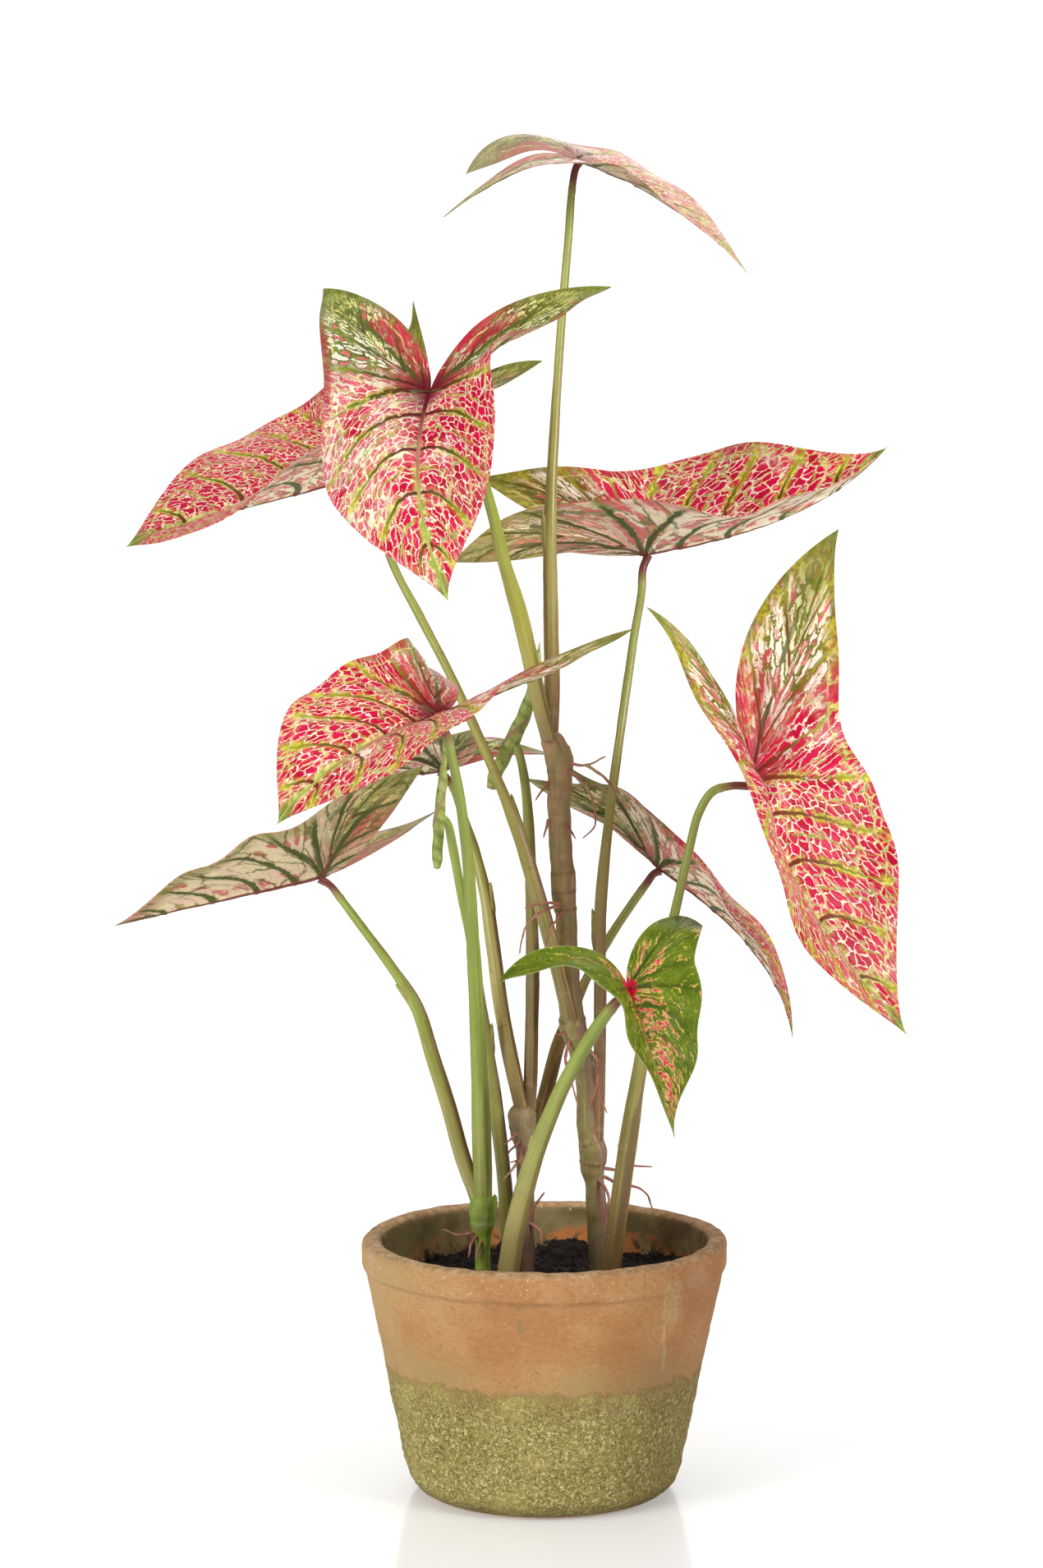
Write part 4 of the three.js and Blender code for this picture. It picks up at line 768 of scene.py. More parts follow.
def bud(route, height, toward, length=7.0, radius=1.7):
    """A small pointed bud lying close against a joint."""
    points, sizes, _ = smooth_path(route, 1.0)
    at = int(np.argmin(abs(points[:, 2] - height)))
    stops = [(0.45, -1.5, radius), (0.85, length * 0.35, radius * 0.9), (0.98, length * 0.75, radius * 0.5),
             (0.95, length, 0.25)]
    return [(*(points[at] + facing_way(toward) * sizes[at] * out + np.array([0, 0, up])), size)
            for out, up, size in stops]


def joints(route):
    """The heights of a cane's joints, where it is thicker than above and below."""
    return [b[2] for a, b, c in zip(route, route[1:], route[2:]) if b[3] > a[3] and b[3] >= c[3]]


for name, route in CANES.items():
    knuckles = joints(route)
    rings = [h + gap for h in knuckles for gap in (-4.6, 3.2)] + [h - 12.0 for h in knuckles[1:]]
    strands = [strand(deepened(route, SOIL_DEPTH), 0.8, CANE_SKIN[name], ring=scars(rings, 0.9),
                      ruddy=RUDDY_SIDE[name], blunt=5.0)]
    strands += [strand(bud(route, height, toward), 0.7, CANE_SKIN[name][1:], blunt=1.0)
                for height, toward in BUDS[name]]
    cane = grow(name + "_skinned", lay_paths(name + "_paths", strands), sweep, Sides=28, Ring_Height=0.00045,
                Furrow_Depth=0.00009, Lump_Height=0.0016, Lump_Length=0.009, Finish=cane_bark)
    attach(cane, "root")
    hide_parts(name)

# ------------------------------------------------------------------ aerial roots
# Thin pink-brown roots that break from the joints, hang or reach for the soil, and taper to
# a fine end. Each follows its own path out of the cane's skin.

ROOTS = {  # x, y and z, from inside the cane to the tip
    "cane_c": [
        [(8.3, -3, 300.2), (17.2, -8, 299.7), (24.8, -12, 303.3)],
        [(16.6, -8, 299.7), (23.8, -11, 295.3), (30.4, -15, 284.7)],
        [(8.3, -4, 297.7), (16.2, -10, 291.9), (20.5, -13, 282.2), (20.2, -13, 275.5), (15.2, -11, 270)],
        [(1.7, -3, 292.2), (-3.7, -7, 284.9)],
        [(1.7, -3, 276.8), (-0.7, -7, 269.2)],
        [(7.7, -4, 276.9), (12.9, -9, 269.4)],
        [(6.4, -4, 241.7), (1.6, -14, 242), (-3.4, -19, 239.9), (-7.6, -20, 234.7), (-10.3, -21, 223.9)],
        [(7, -4, 242.7), (-1, -18, 244.5), (-8.6, -20, 243)],
        [(7.1, -4, 239.4), (3.6, -15, 235.7), (0.3, -18, 227.1)],
        [(10.5, -2, 187.1), (8.7, -7, 179.1), (11.4, -8, 169.2), (13.8, -9, 160.2)],
        [(10.5, -2, 189.2), (4.1, -6, 189.4)],
        [(16.5, 0, 183.4), (21.5, -5, 178.8), (21.8, -6, 167.1), (25.5, -8, 157)],
        [(21.5, -6, 168.1), (18.8, -8, 158.3)],
        [(22.1, 4, 133), (30.3, 8, 130.8), (36.4, 10, 132.2), (45, 12, 131.4)],
        [(22.1, 4, 130.2), (29.6, 7, 125.5), (41.5, 10, 121.5), (45.4, 12, 111.5)],
        [(22.1, 2, 128.6), (26.3, -3, 122.4), (25.3, -5, 110.9)],
    ],
    "cane_b": [
        [(-9.6, -3, 150), (-16.7, -8, 143.8)],
        [(-9, -3, 146.6), (-15.3, -8, 139.4)],
        [(-8.3, -3, 137.1), (-15, -9, 136.8)],
        [(-8.3, -3, 139.1), (-13.7, -9, 133.5), (-17.7, -11, 129.1)],
        [(-8.3, -3, 146.6), (-9.6, -7, 138.5), (-7.6, -8, 130.2)],
        [(-6.9, -2, 112.3), (-2.3, -7, 121.5), (0.4, -9, 125.3)],
        [(-6.9, -2, 110.9), (-1.9, -6, 108.4), (-0.9, -8, 103)],
    ],
    "cane_a": [
        [(-25.7, -16, 110.5), (-34.3, -19, 109.1), (-41.5, -22, 112.1)],
        [(-25.7, -16, 109.8), (-29.6, -20, 105.9), (-30.9, -22, 100.2)],
        [(-25, -16, 108.1), (-26.9, -20, 103.9), (-28.3, -21, 99.3)],
    ],
}

root_skin, thread = make_finish("pink_root_skin")
where = thread.place()
shade = where.noise(130.0, 4.0, 0.6)
colour = thread.mix(shade.smooth(0.35, 0.62), (0.3, 0.085, 0.075), (0.46, 0.21, 0.13))
colour = colour.lay(where.noise(60.0, 2.0).smooth(0.56, 0.68), (0.5, 0.33, 0.17))
fuzz = where.noise(1500.0, 3.0)
coat(thread, colour, shade * 0.2 + 0.5, thread.bump(fuzz, 0.4, 0.0002))


def wandering(route, seed):
    """A root's route with small kinks, from just inside the cane to a fine tip."""
    points, _, _ = smooth_path([(*stop, 1.0) for stop in route], 3.0)
    kink = lambda p: np.array(noise.noise_vector(Vector(p) / 5.0 + Vector((seed, 0, 0))))
    return [(*(p + 0.55 * min(1.0, i / 2) * kink(p)), 0.78 - 0.50 * (i / (len(points) - 1)))
            for i, p in enumerate(points)]


for name, routes in ROOTS.items():
    strands = [strand(wandering(route, seed * 3.7), 1.0, blunt=1.0) for seed, route in enumerate(routes)]
    roots = grow(name + "_roots", lay_paths(name + "_root_paths", strands), sweep, Sides=9,
                 Lump_Height=0.0006, Lump_Length=0.0022, Finish=root_skin)
    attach(roots, "root")

# ------------------------------------------------------------------ stalks
# Leaf stalks: smooth, juicy and round above, and below a long sheath that clasps the next
# shoot, open along one side and ending in a free tooth. They taper to a purple-red top.

STALKS = {  # x, y, z and radius, from the foot up
    "stalk_1": [
        (2.3, -2, 316.2, 3.5), (3, -4, 329.6, 3.2), (2.6, -7, 356.4, 3), (2.2, -9, 396, 2.6),
        (3.6, -4, 428.8, 2), (6.6, 5, 475, 1.7), (9.6, 11, 511.4, 1.7), (11.3, 14, 532.9, 1.5),
        (12.6, 14, 539.4, 1.5),
    ],
    "stalk_2": [
        (0.3, -8, 315.3, 3.1), (-2.7, -12, 326.9, 3.1), (-6, -16, 343.6, 3.3), (-10.3, -20, 361.9, 3.3),
        (-16.5, -26, 383.4, 2.6), (-20.7, -31, 401.4, 2.3), (-27.1, -38, 422.5, 1.8), (-34.7, -43, 438.6, 1.6),
        (-41.4, -46, 445.6, 1.5),
    ],
    "stalk_3": [
        (9.1, -7, 202.1, 3.3), (3, -10, 226.7, 3.2), (-3.7, -10, 250.2, 3), (-11, -8, 273.3, 2.8),
        (-18.9, -4, 293, 2), (-30, 6, 317.2, 2), (-39.5, 14, 336.8, 1.8), (-51.1, 22, 358.3, 1.9),
        (-61.7, 28, 378.2, 1.7), (-67.9, 33, 396.7, 1.6), (-69.9, 35, 410.1, 1.6),
    ],
    "stalk_4": [
        (21.7, 3, 144.1, 2.7), (22.3, 3, 163.9, 2.7), (22.6, 2, 201.4, 2.7), (22.8, 0, 238.9, 2.5),
        (26.1, 0, 275.9, 2), (31.5, 7, 315.5, 1.8), (36.9, 22, 349.8, 1.7), (40.2, 32, 367.9, 1.6),
        (40.9, 36, 377.3, 1.6),
    ],
    "stalk_5": [
        (26, -19, 90.1, 4), (28.3, -20, 107.2, 3.8), (33.2, -22, 144.7, 3.6), (39, -24, 181.9, 3),
        (45, -27, 212.4, 2.3), (52.1, -29, 242.5, 2), (57.2, -30, 265.7, 1.8), (61.4, -30, 282.2, 1.8),
        (66.9, -30, 290.8, 1.7), (74.2, -29, 293, 1.6),
    ],
    "stalk_6": [
        (-25, -15, 127.9, 3.7), (-25.6, -17, 147.1, 3.7), (-26.5, -22, 181.6, 3.3), (-27.7, -27, 212.4, 3),
        (-29, -33, 236.4, 2.6), (-30.5, -40, 263.6, 2.3), (-33.2, -48, 287.3, 2.1), (-36, -54, 304, 1.9),
        (-38.8, -58, 315.6, 1.8),
    ],
    "stalk_7": [
        (-28.3, -13, 126.1, 3.3), (-33.7, -12, 141.1, 3.3), (-38.7, -10, 159.4, 3.2), (-45.1, -7, 179.1, 3),
        (-52.1, -4, 200.6, 2.7), (-62.9, 0, 216.9, 2), (-74.7, 4, 232.3, 1.8), (-83.6, 8, 243.6, 1.7),
        (-87.7, 10, 248.5, 1.5),
    ],
    "stalk_8": [
        (-10.3, -1, 162.9, 3), (-13.7, 1, 177.8, 3.2), (-17.7, 4, 199.4, 3), (-21.1, 8, 224.3, 2.9),
        (-24.1, 13, 244, 2.5), (-28.2, 20, 260.2, 2.2), (-32.8, 29, 272.9, 1.9), (-37.4, 42, 284.7, 1.7),
        (-40.3, 49, 288.8, 1.6),
    ],
    "stalk_9": [
        (-5.9, 3, 142.7, 2.7), (-3.6, 7, 146.8, 2.7), (-0.2, 13, 158.7, 2.9), (5.7, 20, 179.8, 2.9),
        (12.2, 24, 195.4, 2.4), (18, 26, 208.1, 2), (27.2, 29, 224.2, 1.9), (36, 30, 237.5, 1.8),
        (42.8, 30, 247.1, 1.7), (45.6, 30, 250.9, 1.6),
    ],
    "stalk_10": [
        (-14.8, -27, 91.9, 4.3), (-12.4, -28, 108.9, 4.3), (-8.0, -31, 129.7, 3.9), (-1.9, -36, 150.7, 3.4),
        (5.4, -44, 170.4, 3.1), (12.8, -52, 186.6, 2.8), (20, -61, 200.4, 2.6), (26.3, -69, 210.4, 2.2),
        (29.7, -73, 214.6, 1.6),
    ],
    "stalk_rolled_1": [
        (-13.7, 9, 83.8, 3.4), (-14.4, 8, 104.7, 3.4), (-17.1, 5, 136.2, 3.2), (-20.1, 1, 160.8, 3.2),
        (-23.4, -4, 185.4, 2.5), (-26.3, -9, 206.4, 2), (-30.2, -14, 230.6, 1.8), (-33.7, -20, 249.7, 1.8),
        (-36.9, -26, 268.6, 1.8), (-38.7, -31, 278, 1.6), (-41, -35, 281.4, 1.5),
    ],
    "stalk_rolled_2": [
        (-5.9, 1, 162.5, 2.7), (-5.3, 4, 187.5, 2.7), (-4.9, 7, 214.3, 2.7), (-5.3, 9, 244.5, 2.5),
        (-6.3, 9, 271.6, 2.2), (-7.6, 9, 288.4, 2), (-9.6, 8, 300.3, 1.8), (-11.6, 8, 306.7, 1.7),
    ],
}
STALK_TOPS = {  # where each blade sits on its stalk
    "stalk_1": (14.1, 14.2, 542.0),
    "stalk_2": (-45.1, -47.5, 447.0),
    "stalk_3": (-71.7, 34.9, 416.1),
    "stalk_4": (43.1, 37.3, 382.7),
    "stalk_5": (81.6, -26.8, 292.8),
    "stalk_6": (-43.2, -60.9, 322.2),
    "stalk_7": (-92.1, 9.9, 251.2),
    "stalk_8": (-43.6, 50.5, 291.4),
    "stalk_9": (48.5, 29.7, 252.2),
    "stalk_10": (32.1, -75.3, 216.3),
}
SHEATHS = {  # the height of each sheath's tooth, the way it faces, and the tooth's length
    "stalk_1": (398.0, 195.0, 9.0), "stalk_2": (352.0, -20.0, 0.0), "stalk_3": (283.0, 10.0, 10.0),
    "stalk_4": (236.0, 180.0, 9.0), "stalk_5": (168.0, -60.0, 0.0), "stalk_6": (175.0, -25.0, 0.0),
    "stalk_7": (207.0, 190.0, 7.0), "stalk_8": (246.0, -15.0, 8.0), "stalk_9": (180.0, -60.0, 0.0),
    "stalk_10": (152.0, 150.0, 4.0), "stalk_rolled_1": (190.0, -5.0, 8.0), "stalk_rolled_2": (230.0, -30.0, 0.0),
}
STALK_SKIN = {  # colours from the foot up to the blade
    "stalk_1": [(0.26, 0.14, 0.062), (0.37, 0.28, 0.085), (0.39, 0.35, 0.09),
                (0.375, 0.405, 0.091), (0.383, 0.435, 0.084)],
    "stalk_2": [(0.323, 0.225, 0.084), (0.435, 0.405, 0.081), (0.413, 0.45, 0.056),
                (0.3, 0.405, 0.039), (0.33, 0.413, 0.063)],
    "stalk_3": [(0.195, 0.12, 0.039), (0.435, 0.36, 0.101), (0.42, 0.398, 0.087),
                (0.33, 0.375, 0.07), (0.375, 0.45, 0.098)],
    "stalk_4": [(0.225, 0.093, 0.053), (0.285, 0.158, 0.07), (0.36, 0.3, 0.087),
                (0.315, 0.338, 0.084), (0.345, 0.405, 0.098)],
    "stalk_5": [(0.16, 0.085, 0.03), (0.27, 0.19, 0.055), (0.323, 0.307, 0.07),
                (0.315, 0.36, 0.067), (0.352, 0.435, 0.091)],
    "stalk_6": [(0.27, 0.3, 0.049), (0.277, 0.352, 0.045), (0.247, 0.323, 0.036),
                (0.285, 0.352, 0.056), (0.33, 0.405, 0.077)],
    "stalk_7": [(0.36, 0.345, 0.098), (0.405, 0.352, 0.105), (0.338, 0.39, 0.063),
                (0.262, 0.345, 0.042), (0.3, 0.39, 0.056)],
    "stalk_8": [(0.27, 0.158, 0.059), (0.495, 0.398, 0.133), (0.495, 0.435, 0.133),
                (0.345, 0.375, 0.067), (0.285, 0.36, 0.056)],
    "stalk_9": [(0.225, 0.112, 0.034), (0.285, 0.173, 0.042), (0.323, 0.24, 0.049),
                (0.307, 0.338, 0.063), (0.338, 0.435, 0.084)],
    "stalk_10": [(0.43, 0.275, 0.115), (0.56, 0.455, 0.165), (0.39, 0.42, 0.1),
                 (0.31, 0.385, 0.062), (0.3, 0.39, 0.062)],
    "stalk_rolled_1": [(0.292, 0.24, 0.056), (0.36, 0.323, 0.077), (0.345, 0.36, 0.07),
                       (0.277, 0.36, 0.049), (0.3, 0.39, 0.063)],
    "stalk_rolled_2": [(0.255, 0.143, 0.07), (0.315, 0.225, 0.091), (0.338, 0.27, 0.087),
                       (0.345, 0.338, 0.084), (0.352, 0.405, 0.098)],
}
RUDDY = {  # how brown-red each stalk is down its side away from the main lamp, partly its own colour and partly painted shade
    "stalk_1": 0.45, "stalk_2": 0.2, "stalk_3": 0.8, "stalk_4": 0.5, "stalk_5": 0.9, "stalk_6": 0.05,
    "stalk_7": 0.8, "stalk_8": 0.9, "stalk_9": 1.0, "stalk_10": 0.7, "stalk_rolled_1": 0.8, "stalk_rolled_2": 0.9,
}
IN_SOIL = ("stalk_5", "stalk_10", "stalk_rolled_1")  # the others grow out of a cane

stalk_skin, rind = make_finish("stalk_rind")
where = rind.place()
tint = rind.attribute("tint")
cloud = where.noise(75.0, 4.0, 0.55)
colour = rind.mix(cloud.smooth(0.3, 0.66), rind.mix(0.2, tint, (0.13, 0.12, 0.014)), tint)
away_from_lamp = rind.fact("away_from_lamp")
streaks = stretched_noise(rind, 480.0, 11.0)
lines = stretched_noise(rind, 1300.0, 28.0)
edge = streaks * 0.9 + away_from_lamp
# painted shade: the side that faces away from the main lamp is darkened
colour = colour.lay(away_from_lamp.smooth(0.1, 0.95) * 0.4, rind.mix(0.35, tint, (0.07, 0.055, 0.012)))
# brown down the side away from the lamp: partly the stalk's own colour, partly painted shade
brown_and_shade = rind.fact("ruddy") * edge.smooth(0.38, 0.85)
colour = colour.lay(brown_and_shade.or_less(0.9),
                    rind.mix(lines.smooth(0.4, 0.62), (0.185, 0.07, 0.022), (0.35, 0.165, 0.08)))
colour = colour.lay(streaks.smooth(0.52, 0.66) * 0.45, rind.mix(0.5, tint, (0.62, 0.64, 0.18)))
colour = colour.lay(lines.smooth(0.5, 0.68) * 0.26, (0.6, 0.6, 0.22))
colour = colour.lay(lines.smooth(0.44, 0.3) * 0.28, (0.13, 0.12, 0.016))
dots = where.noise(900.0, 2.0).smooth(0.65, 0.71)
colour = colour.lay(dots * 0.4, (0.55, 0.48, 0.24))
rust = where.noise(150.0, 4.0, 0.65).smooth(0.58, 0.7) * (rind.fact("ruddy") * 0.5 + 0.05)
colour = colour.lay(rust, (0.24, 0.095, 0.05))
colour = colour.lay(rind.fact("ring") * 0.55, (0.42, 0.3, 0.17))
# painted shade: the stalk darkens towards the soil, where the pot shades it
pot_shade = where.parts()[2].smooth(0.128, 0.088) * (rind.fact("ruddy") * 0.76 + 0.1)
colour = colour.lay(pot_shade, (0.06, 0.03, 0.01))
colour = colour.lay(rind.fact("hollow").smooth(0.15, 0.9), rind.mix(0.55, tint, (0.11, 0.045, 0.02)))
purple = rind.mix(lines.smooth(0.4, 0.62), (0.17, 0.035, 0.03), (0.28, 0.085, 0.055))
colour = colour.lay(rind.fact("blush"), purple)
surface = rind.bump(lines + cloud * 0.5, 0.18, 0.0004)
coat(rind, colour, cloud * 0.18 + 0.26, surface)


def tooth(route, height, toward, length):
    """The free end of a sheath: a thin flap that rises out of the stalk and stands off it."""
    points, sizes, heading = smooth_path(route, 1.0)
    at = int(np.argmin(abs(points[:, 2] - height)))
    side, along, size = facing_way(toward), heading[at], sizes[at]
    stops = [(0.35, -1.6, 0.5), (0.55, -0.9, 0.72), (0.80, -0.3, 0.58), (1.12, 0.2, 0.34), (1.35, 0.5, 0.10)]
    return [(*(points[at] + side * size * out + along * (length * up)), size * part) for out, up, part in stops]


for name, route in STALKS.items():
    top = STALK_TOPS.get(name)
    if top:
        route = [*route, (*top, 1.75)]
    route = deepened(route, SOIL_DEPTH if name in IN_SOIL else route[0][2] - 5.0)
    height, toward, length = SHEATHS[name]
    foot = route[0][2]
    opened = lambda z, run, whole: np.clip((height - z) / 10.0, 0.0, 1.0) * np.clip((z - foot) / 12.0, 0.25, 1.0)
    reddened = lambda z, run, whole: np.clip((run - whole + 13.0) / 6.0, 0.0, 1.0) if top else 0.0 * z
    low_ring = foot + (24.0 if name in IN_SOIL else 10.0)
    collars = scars([height - 22.0, low_ring], 0.9)
    under_blade = lambda run, whole: np.exp(-((run - whole + 12.0) / 0.8) ** 2) if top else 0.0
    ringed = lambda z, run, whole: 0.7 * collars(z, run, whole) + under_blade(run, whole)
    strands = [strand(route, 1.0, STALK_SKIN[name], ring=ringed, cleft=opened, cleft_side=facing_way(toward),
                      blush=reddened, ruddy=RUDDY[name], blunt=0.0 if top else 1.5)]
    if length:
        strands.append(strand(tooth(route, height, toward, length), 0.8, STALK_SKIN[name][1:3],
                              ruddy=RUDDY[name], blunt=1.0))
    stalk = grow(name + "_skinned", lay_paths(name + "_paths", strands), sweep, Sides=24, Ring_Height=0.00022,
                 Cleft_Depth=0.0011, Lip_Height=0.00045, Furrow_Depth=0.00005, Lump_Height=0.0005,
                 Lump_Length=0.016, Finish=stalk_skin)
    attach(stalk, "root")
    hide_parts(name)

# ------------------------------------------------------------------ rolled young leaves
# Two leaves that have not opened: each is a blade wound round itself into a spindle, so its
# edge runs up it in a slow spiral and its side veins show as slanting bars.

ROLLED = {  # x, y, z and radius, from the stalk up
    "rolled_1": [
        (-42.9, -36, 260.8, 1.3), (-42.9, -36, 264.8, 2.1), (-42.3, -35, 276.1, 2.3), (-41, -33, 292.3, 2),
        (-40, -32, 305.4, 1.1), (-40.3, -32, 313.6, 0.3),
    ],
    "rolled_2": [
        (-21.7, 12, 288.1, 2), (-20.4, 12, 293.2, 2.9), (-16.3, 10, 301.8, 3), (-12.7, 9, 308.6, 3.2),
        (-8.3, 8, 318.1, 3), (-5, 8, 328.8, 2.3), (-2.9, 9, 338.8, 1.7), (-1.9, 10, 347.8, 0.3),
    ],
}

rolled_skin, spindle = make_finish("rolled_leaf_skin")
where = spindle.place()
wound, along, seam = spindle.attribute("wound").parts()
bars = (along * 1.35 + wound * 6.2832).math("SINE")
blot = where.noise(420.0, 4.0, 0.6)
colour = spindle.mix(bars.smooth(-0.2, 0.95), (0.34, 0.41, 0.08), (0.215, 0.285, 0.038))
colour = colour.lay(blot.smooth(0.5, 0.64) * 0.55, (0.56, 0.54, 0.24))
colour = colour.lay(where.noise(160.0, 3.0).smooth(0.56, 0.68) * 0.55, (0.42, 0.2, 0.12))
colour = colour.lay(seam.smooth(0.1, 0.0), (0.36, 0.24, 0.12))
coat(spindle, colour, blot * 0.2 + 0.36, spindle.bump(bars * 0.5 + blot, 0.35, 0.0005))


def wind_leaf(route, turns=1.6, sides=30):
    """A spindle whose skin is one sheet wound round, with the step of its free edge."""
    points, sizes, heading = smooth_path(route, 0.9)
    across = np.array([1.0, 0.0, 0.0])
    verts, facts = [], []
    for i, (p, size, forward) in enumerate(zip(points, sizes, heading)):
        across = across - forward * across.dot(forward)
        across /= np.linalg.norm(across)
        up = np.cross(forward, across)
        share = i / (len(points) - 1)
        for k in range(sides):
            angle = 2 * math.pi * k / sides
            lap = (k / sides - turns * share) % 1.0
            r = size * (0.90 + 0.17 * lap + 0.05 * math.sin(i * 0.55 + angle))
            verts.append(p + (across * math.cos(angle) + up * math.sin(angle)) * r)
            facts.append((lap, i * 0.9, min(lap, 1 - lap)))
    faces = []
    for i in range(len(points) - 1):
        for k in range(sides):
            k2 = (k + 1) % sides
            faces.append((i * sides + k, i * sides + k2, (i + 1) * sides + k2, (i + 1) * sides + k))
    last = (len(points) - 1) * sides
    for start, turn, middle in ((0, -1, points[0] - heading[0] * 0.4), (last, 1, points[-1] + heading[-1] * 0.5)):
        faces += [(len(verts), *(start + k, start + (k + 1) % sides)[::turn]) for k in range(sides)]
        verts.append(middle)
        facts.append((0.5, 0.0, 0.5))
    return verts, faces, facts


for name, route in ROLLED.items():
    verts, faces, facts = wind_leaf(route)
    rolled = make_piece(name + "_wound", verts, faces, [rolled_skin], {"wound": facts})
    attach(rolled, "root")
    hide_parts(name)

# ------------------------------------------------------------------ leaf blades
# Ten arrow-shaped blades, each a thin sheet that droops, folds and twists its own way. Side
# veins arch out of the midrib and of the two lobe ribs, sunk above and raised beneath, and
# the sheet is puffed up between them; a further vein runs round just inside the margin.

BLADES = [  # angles in degrees, lengths in millimetres; width, lobe, wave and reach in blade lengths
    dict(name="leaf_1", at=(12.9, 14, 543.3), heading=-3, pitch=-19, roll=14, tone=(0.10, 0.1, 0.9),
         length=84, width=0.41, fullness=1.2, lobe=0.82, spread=59, vee=0,
         droop=(24, 9), sweep=1, twist=12,
         left=dict(fold=(5, 21), curl=-22, wave=0.031, phase=-0.42, reach=0.96, lift=-73, swing=-65, twist=87),
         right=dict(fold=(2, 14), curl=31, wave=0.018, phase=0.31, reach=1.02, lift=-68, swing=-32, twist=37)),
    dict(name="leaf_2", at=(-45.1, -47, 448.8), heading=-107, pitch=-45, roll=11, tone=(0.05, 0.1, 1.0),
         right_paler=0.38, length=98, width=0.44, fullness=2.2, lobe=0.88, spread=51, vee=17,
         droop=(13, 29), sweep=24, twist=-23,
         left=dict(fold=(14, -4), curl=38, wave=0.023, phase=-0.15, reach=1.02, lift=-41, swing=-21, twist=-22),
         right=dict(fold=(31, 6), curl=-51, wave=0.021, phase=0.65, reach=0.99, lift=-32, swing=-19, twist=-30)),
    dict(name="leaf_3", at=(-70.4, 35, 417.4), heading=196, pitch=-18, roll=-16, tone=(-0.04, 0.3, 0.85),
         length=107, width=0.54, fullness=3.1, lobe=0.78, spread=44, vee=15,
         droop=(-15, 28), sweep=-19, twist=-10,
         left=dict(fold=(53, 12), curl=-6, wave=0.021, phase=0.07, reach=1.02, lift=9, swing=-57, twist=-102),
         right=dict(fold=(29, 17), curl=-25, wave=0.016, phase=0.3, reach=0.93, lift=66, swing=24, twist=140)),
    dict(name="leaf_4", at=(41.4, 37, 383.3), heading=5, pitch=10, roll=9, tone=(-0.02, 0.7, 1.5),
         length=113, width=0.41, fullness=2.5, lobe=0.78, spread=54, vee=24,
         droop=(-3, -36), sweep=4, twist=37,
         left=dict(fold=(33, 44), curl=-14, wave=0.011, phase=-0.4, reach=0.94, lift=9, swing=-27, twist=23),
         right=dict(fold=(33, 60), curl=-12, wave=0.023, phase=-0.29, reach=1.02, lift=10, swing=-112, twist=70)),
    dict(name="leaf_5", at=(82, -27, 294.6), heading=-3, pitch=-73, roll=12, tone=(-0.03, 0.8, 1.5),
         length=120, width=0.46, fullness=2.3, lobe=0.86, spread=42, vee=-14,
         droop=(-40, 15), sweep=3, twist=19,
         left=dict(fold=(23, 27), curl=31, wave=0.014, phase=-0.29, reach=1.08, lift=42, swing=-18, twist=77),
         right=dict(fold=(29, 14), curl=-18, wave=0.015, phase=0.21, reach=0.91, lift=-46, swing=-54, twist=-53)),
    dict(name="leaf_6", at=(-42.1, -60, 323.3), heading=-132, pitch=-10, roll=-14, tone=(-0.03, 0.5, 1.15),
         length=90, width=0.42, fullness=3, lobe=0.87, spread=42, vee=10,
         droop=(12, 30), sweep=-4, twist=-5,
         left=dict(fold=(31, 7), curl=0, wave=0.015, phase=0.09, reach=1.1, lift=10, swing=-18, twist=-20),
         right=dict(fold=(20, 12), curl=1, wave=0.023, phase=-0.37, reach=0.89, lift=-35, swing=32, twist=79)),
    dict(name="leaf_7", at=(-90.8, 10, 252.5), heading=175, pitch=-16, roll=17, tone=(0.12, 0.1, 1.0),
         length=89, width=0.37, fullness=2.3, lobe=0.76, spread=54, vee=4,
         droop=(-12, 13), sweep=3, twist=6,
         left=dict(fold=(30, 16), curl=-7, wave=0.03, phase=-0.49, reach=1.01, lift=20, swing=-53, twist=10),
         right=dict(fold=(27, 12), curl=-6, wave=0.022, phase=0.28, reach=0.93, lift=8, swing=-36, twist=-11)),
    dict(name="leaf_8", at=(-42.2, 50, 292.5), heading=158, pitch=-8, roll=0, tone=(0.08, 0.1, 0.9),
         length=72, width=0.4, fullness=2.4, lobe=0.8, spread=52, vee=8,
         droop=(8, 6), sweep=0, twist=0,
         left=dict(fold=(22, 12), curl=-6, wave=0.02, phase=0.1, reach=0.85, lift=10, swing=-10, twist=20),
         right=dict(fold=(22, 12), curl=-6, wave=0.02, phase=0.4, reach=1, lift=-48, swing=0, twist=10)),
    dict(name="leaf_9", at=(47.7, 30, 253.8), heading=-11, pitch=-34, roll=-10, tone=(0.0, 0.2, 0.9),
         length=92, width=0.39, fullness=2.1, lobe=0.76, spread=41, vee=18,
         droop=(7, 40), sweep=0, twist=8,
         left=dict(fold=(20, 12), curl=-8, wave=0.017, phase=-0.27, reach=0.95, lift=7, swing=-42, twist=5),
         right=dict(fold=(19, 8), curl=-3, wave=0.028, phase=0.56, reach=1, lift=-19, swing=-60, twist=41)),
    dict(name="leaf_10", at=(32.2, -75, 218.1), heading=-60, pitch=-54, roll=-14, tone=(0.0, 0.0, 0.8),
         length=63, width=0.41, fullness=2.2, lobe=0.93, spread=49, vee=10,
         droop=(5, 1), sweep=1, twist=-28,
         left=dict(fold=(60, -1), curl=-19, wave=0.037, phase=-0.27, reach=1.04, lift=-90, swing=-7, twist=-21),
         right=dict(fold=(22, 7), curl=6, wave=0.039, phase=0.41, reach=1.01, lift=-115, swing=31, twist=26)),
]

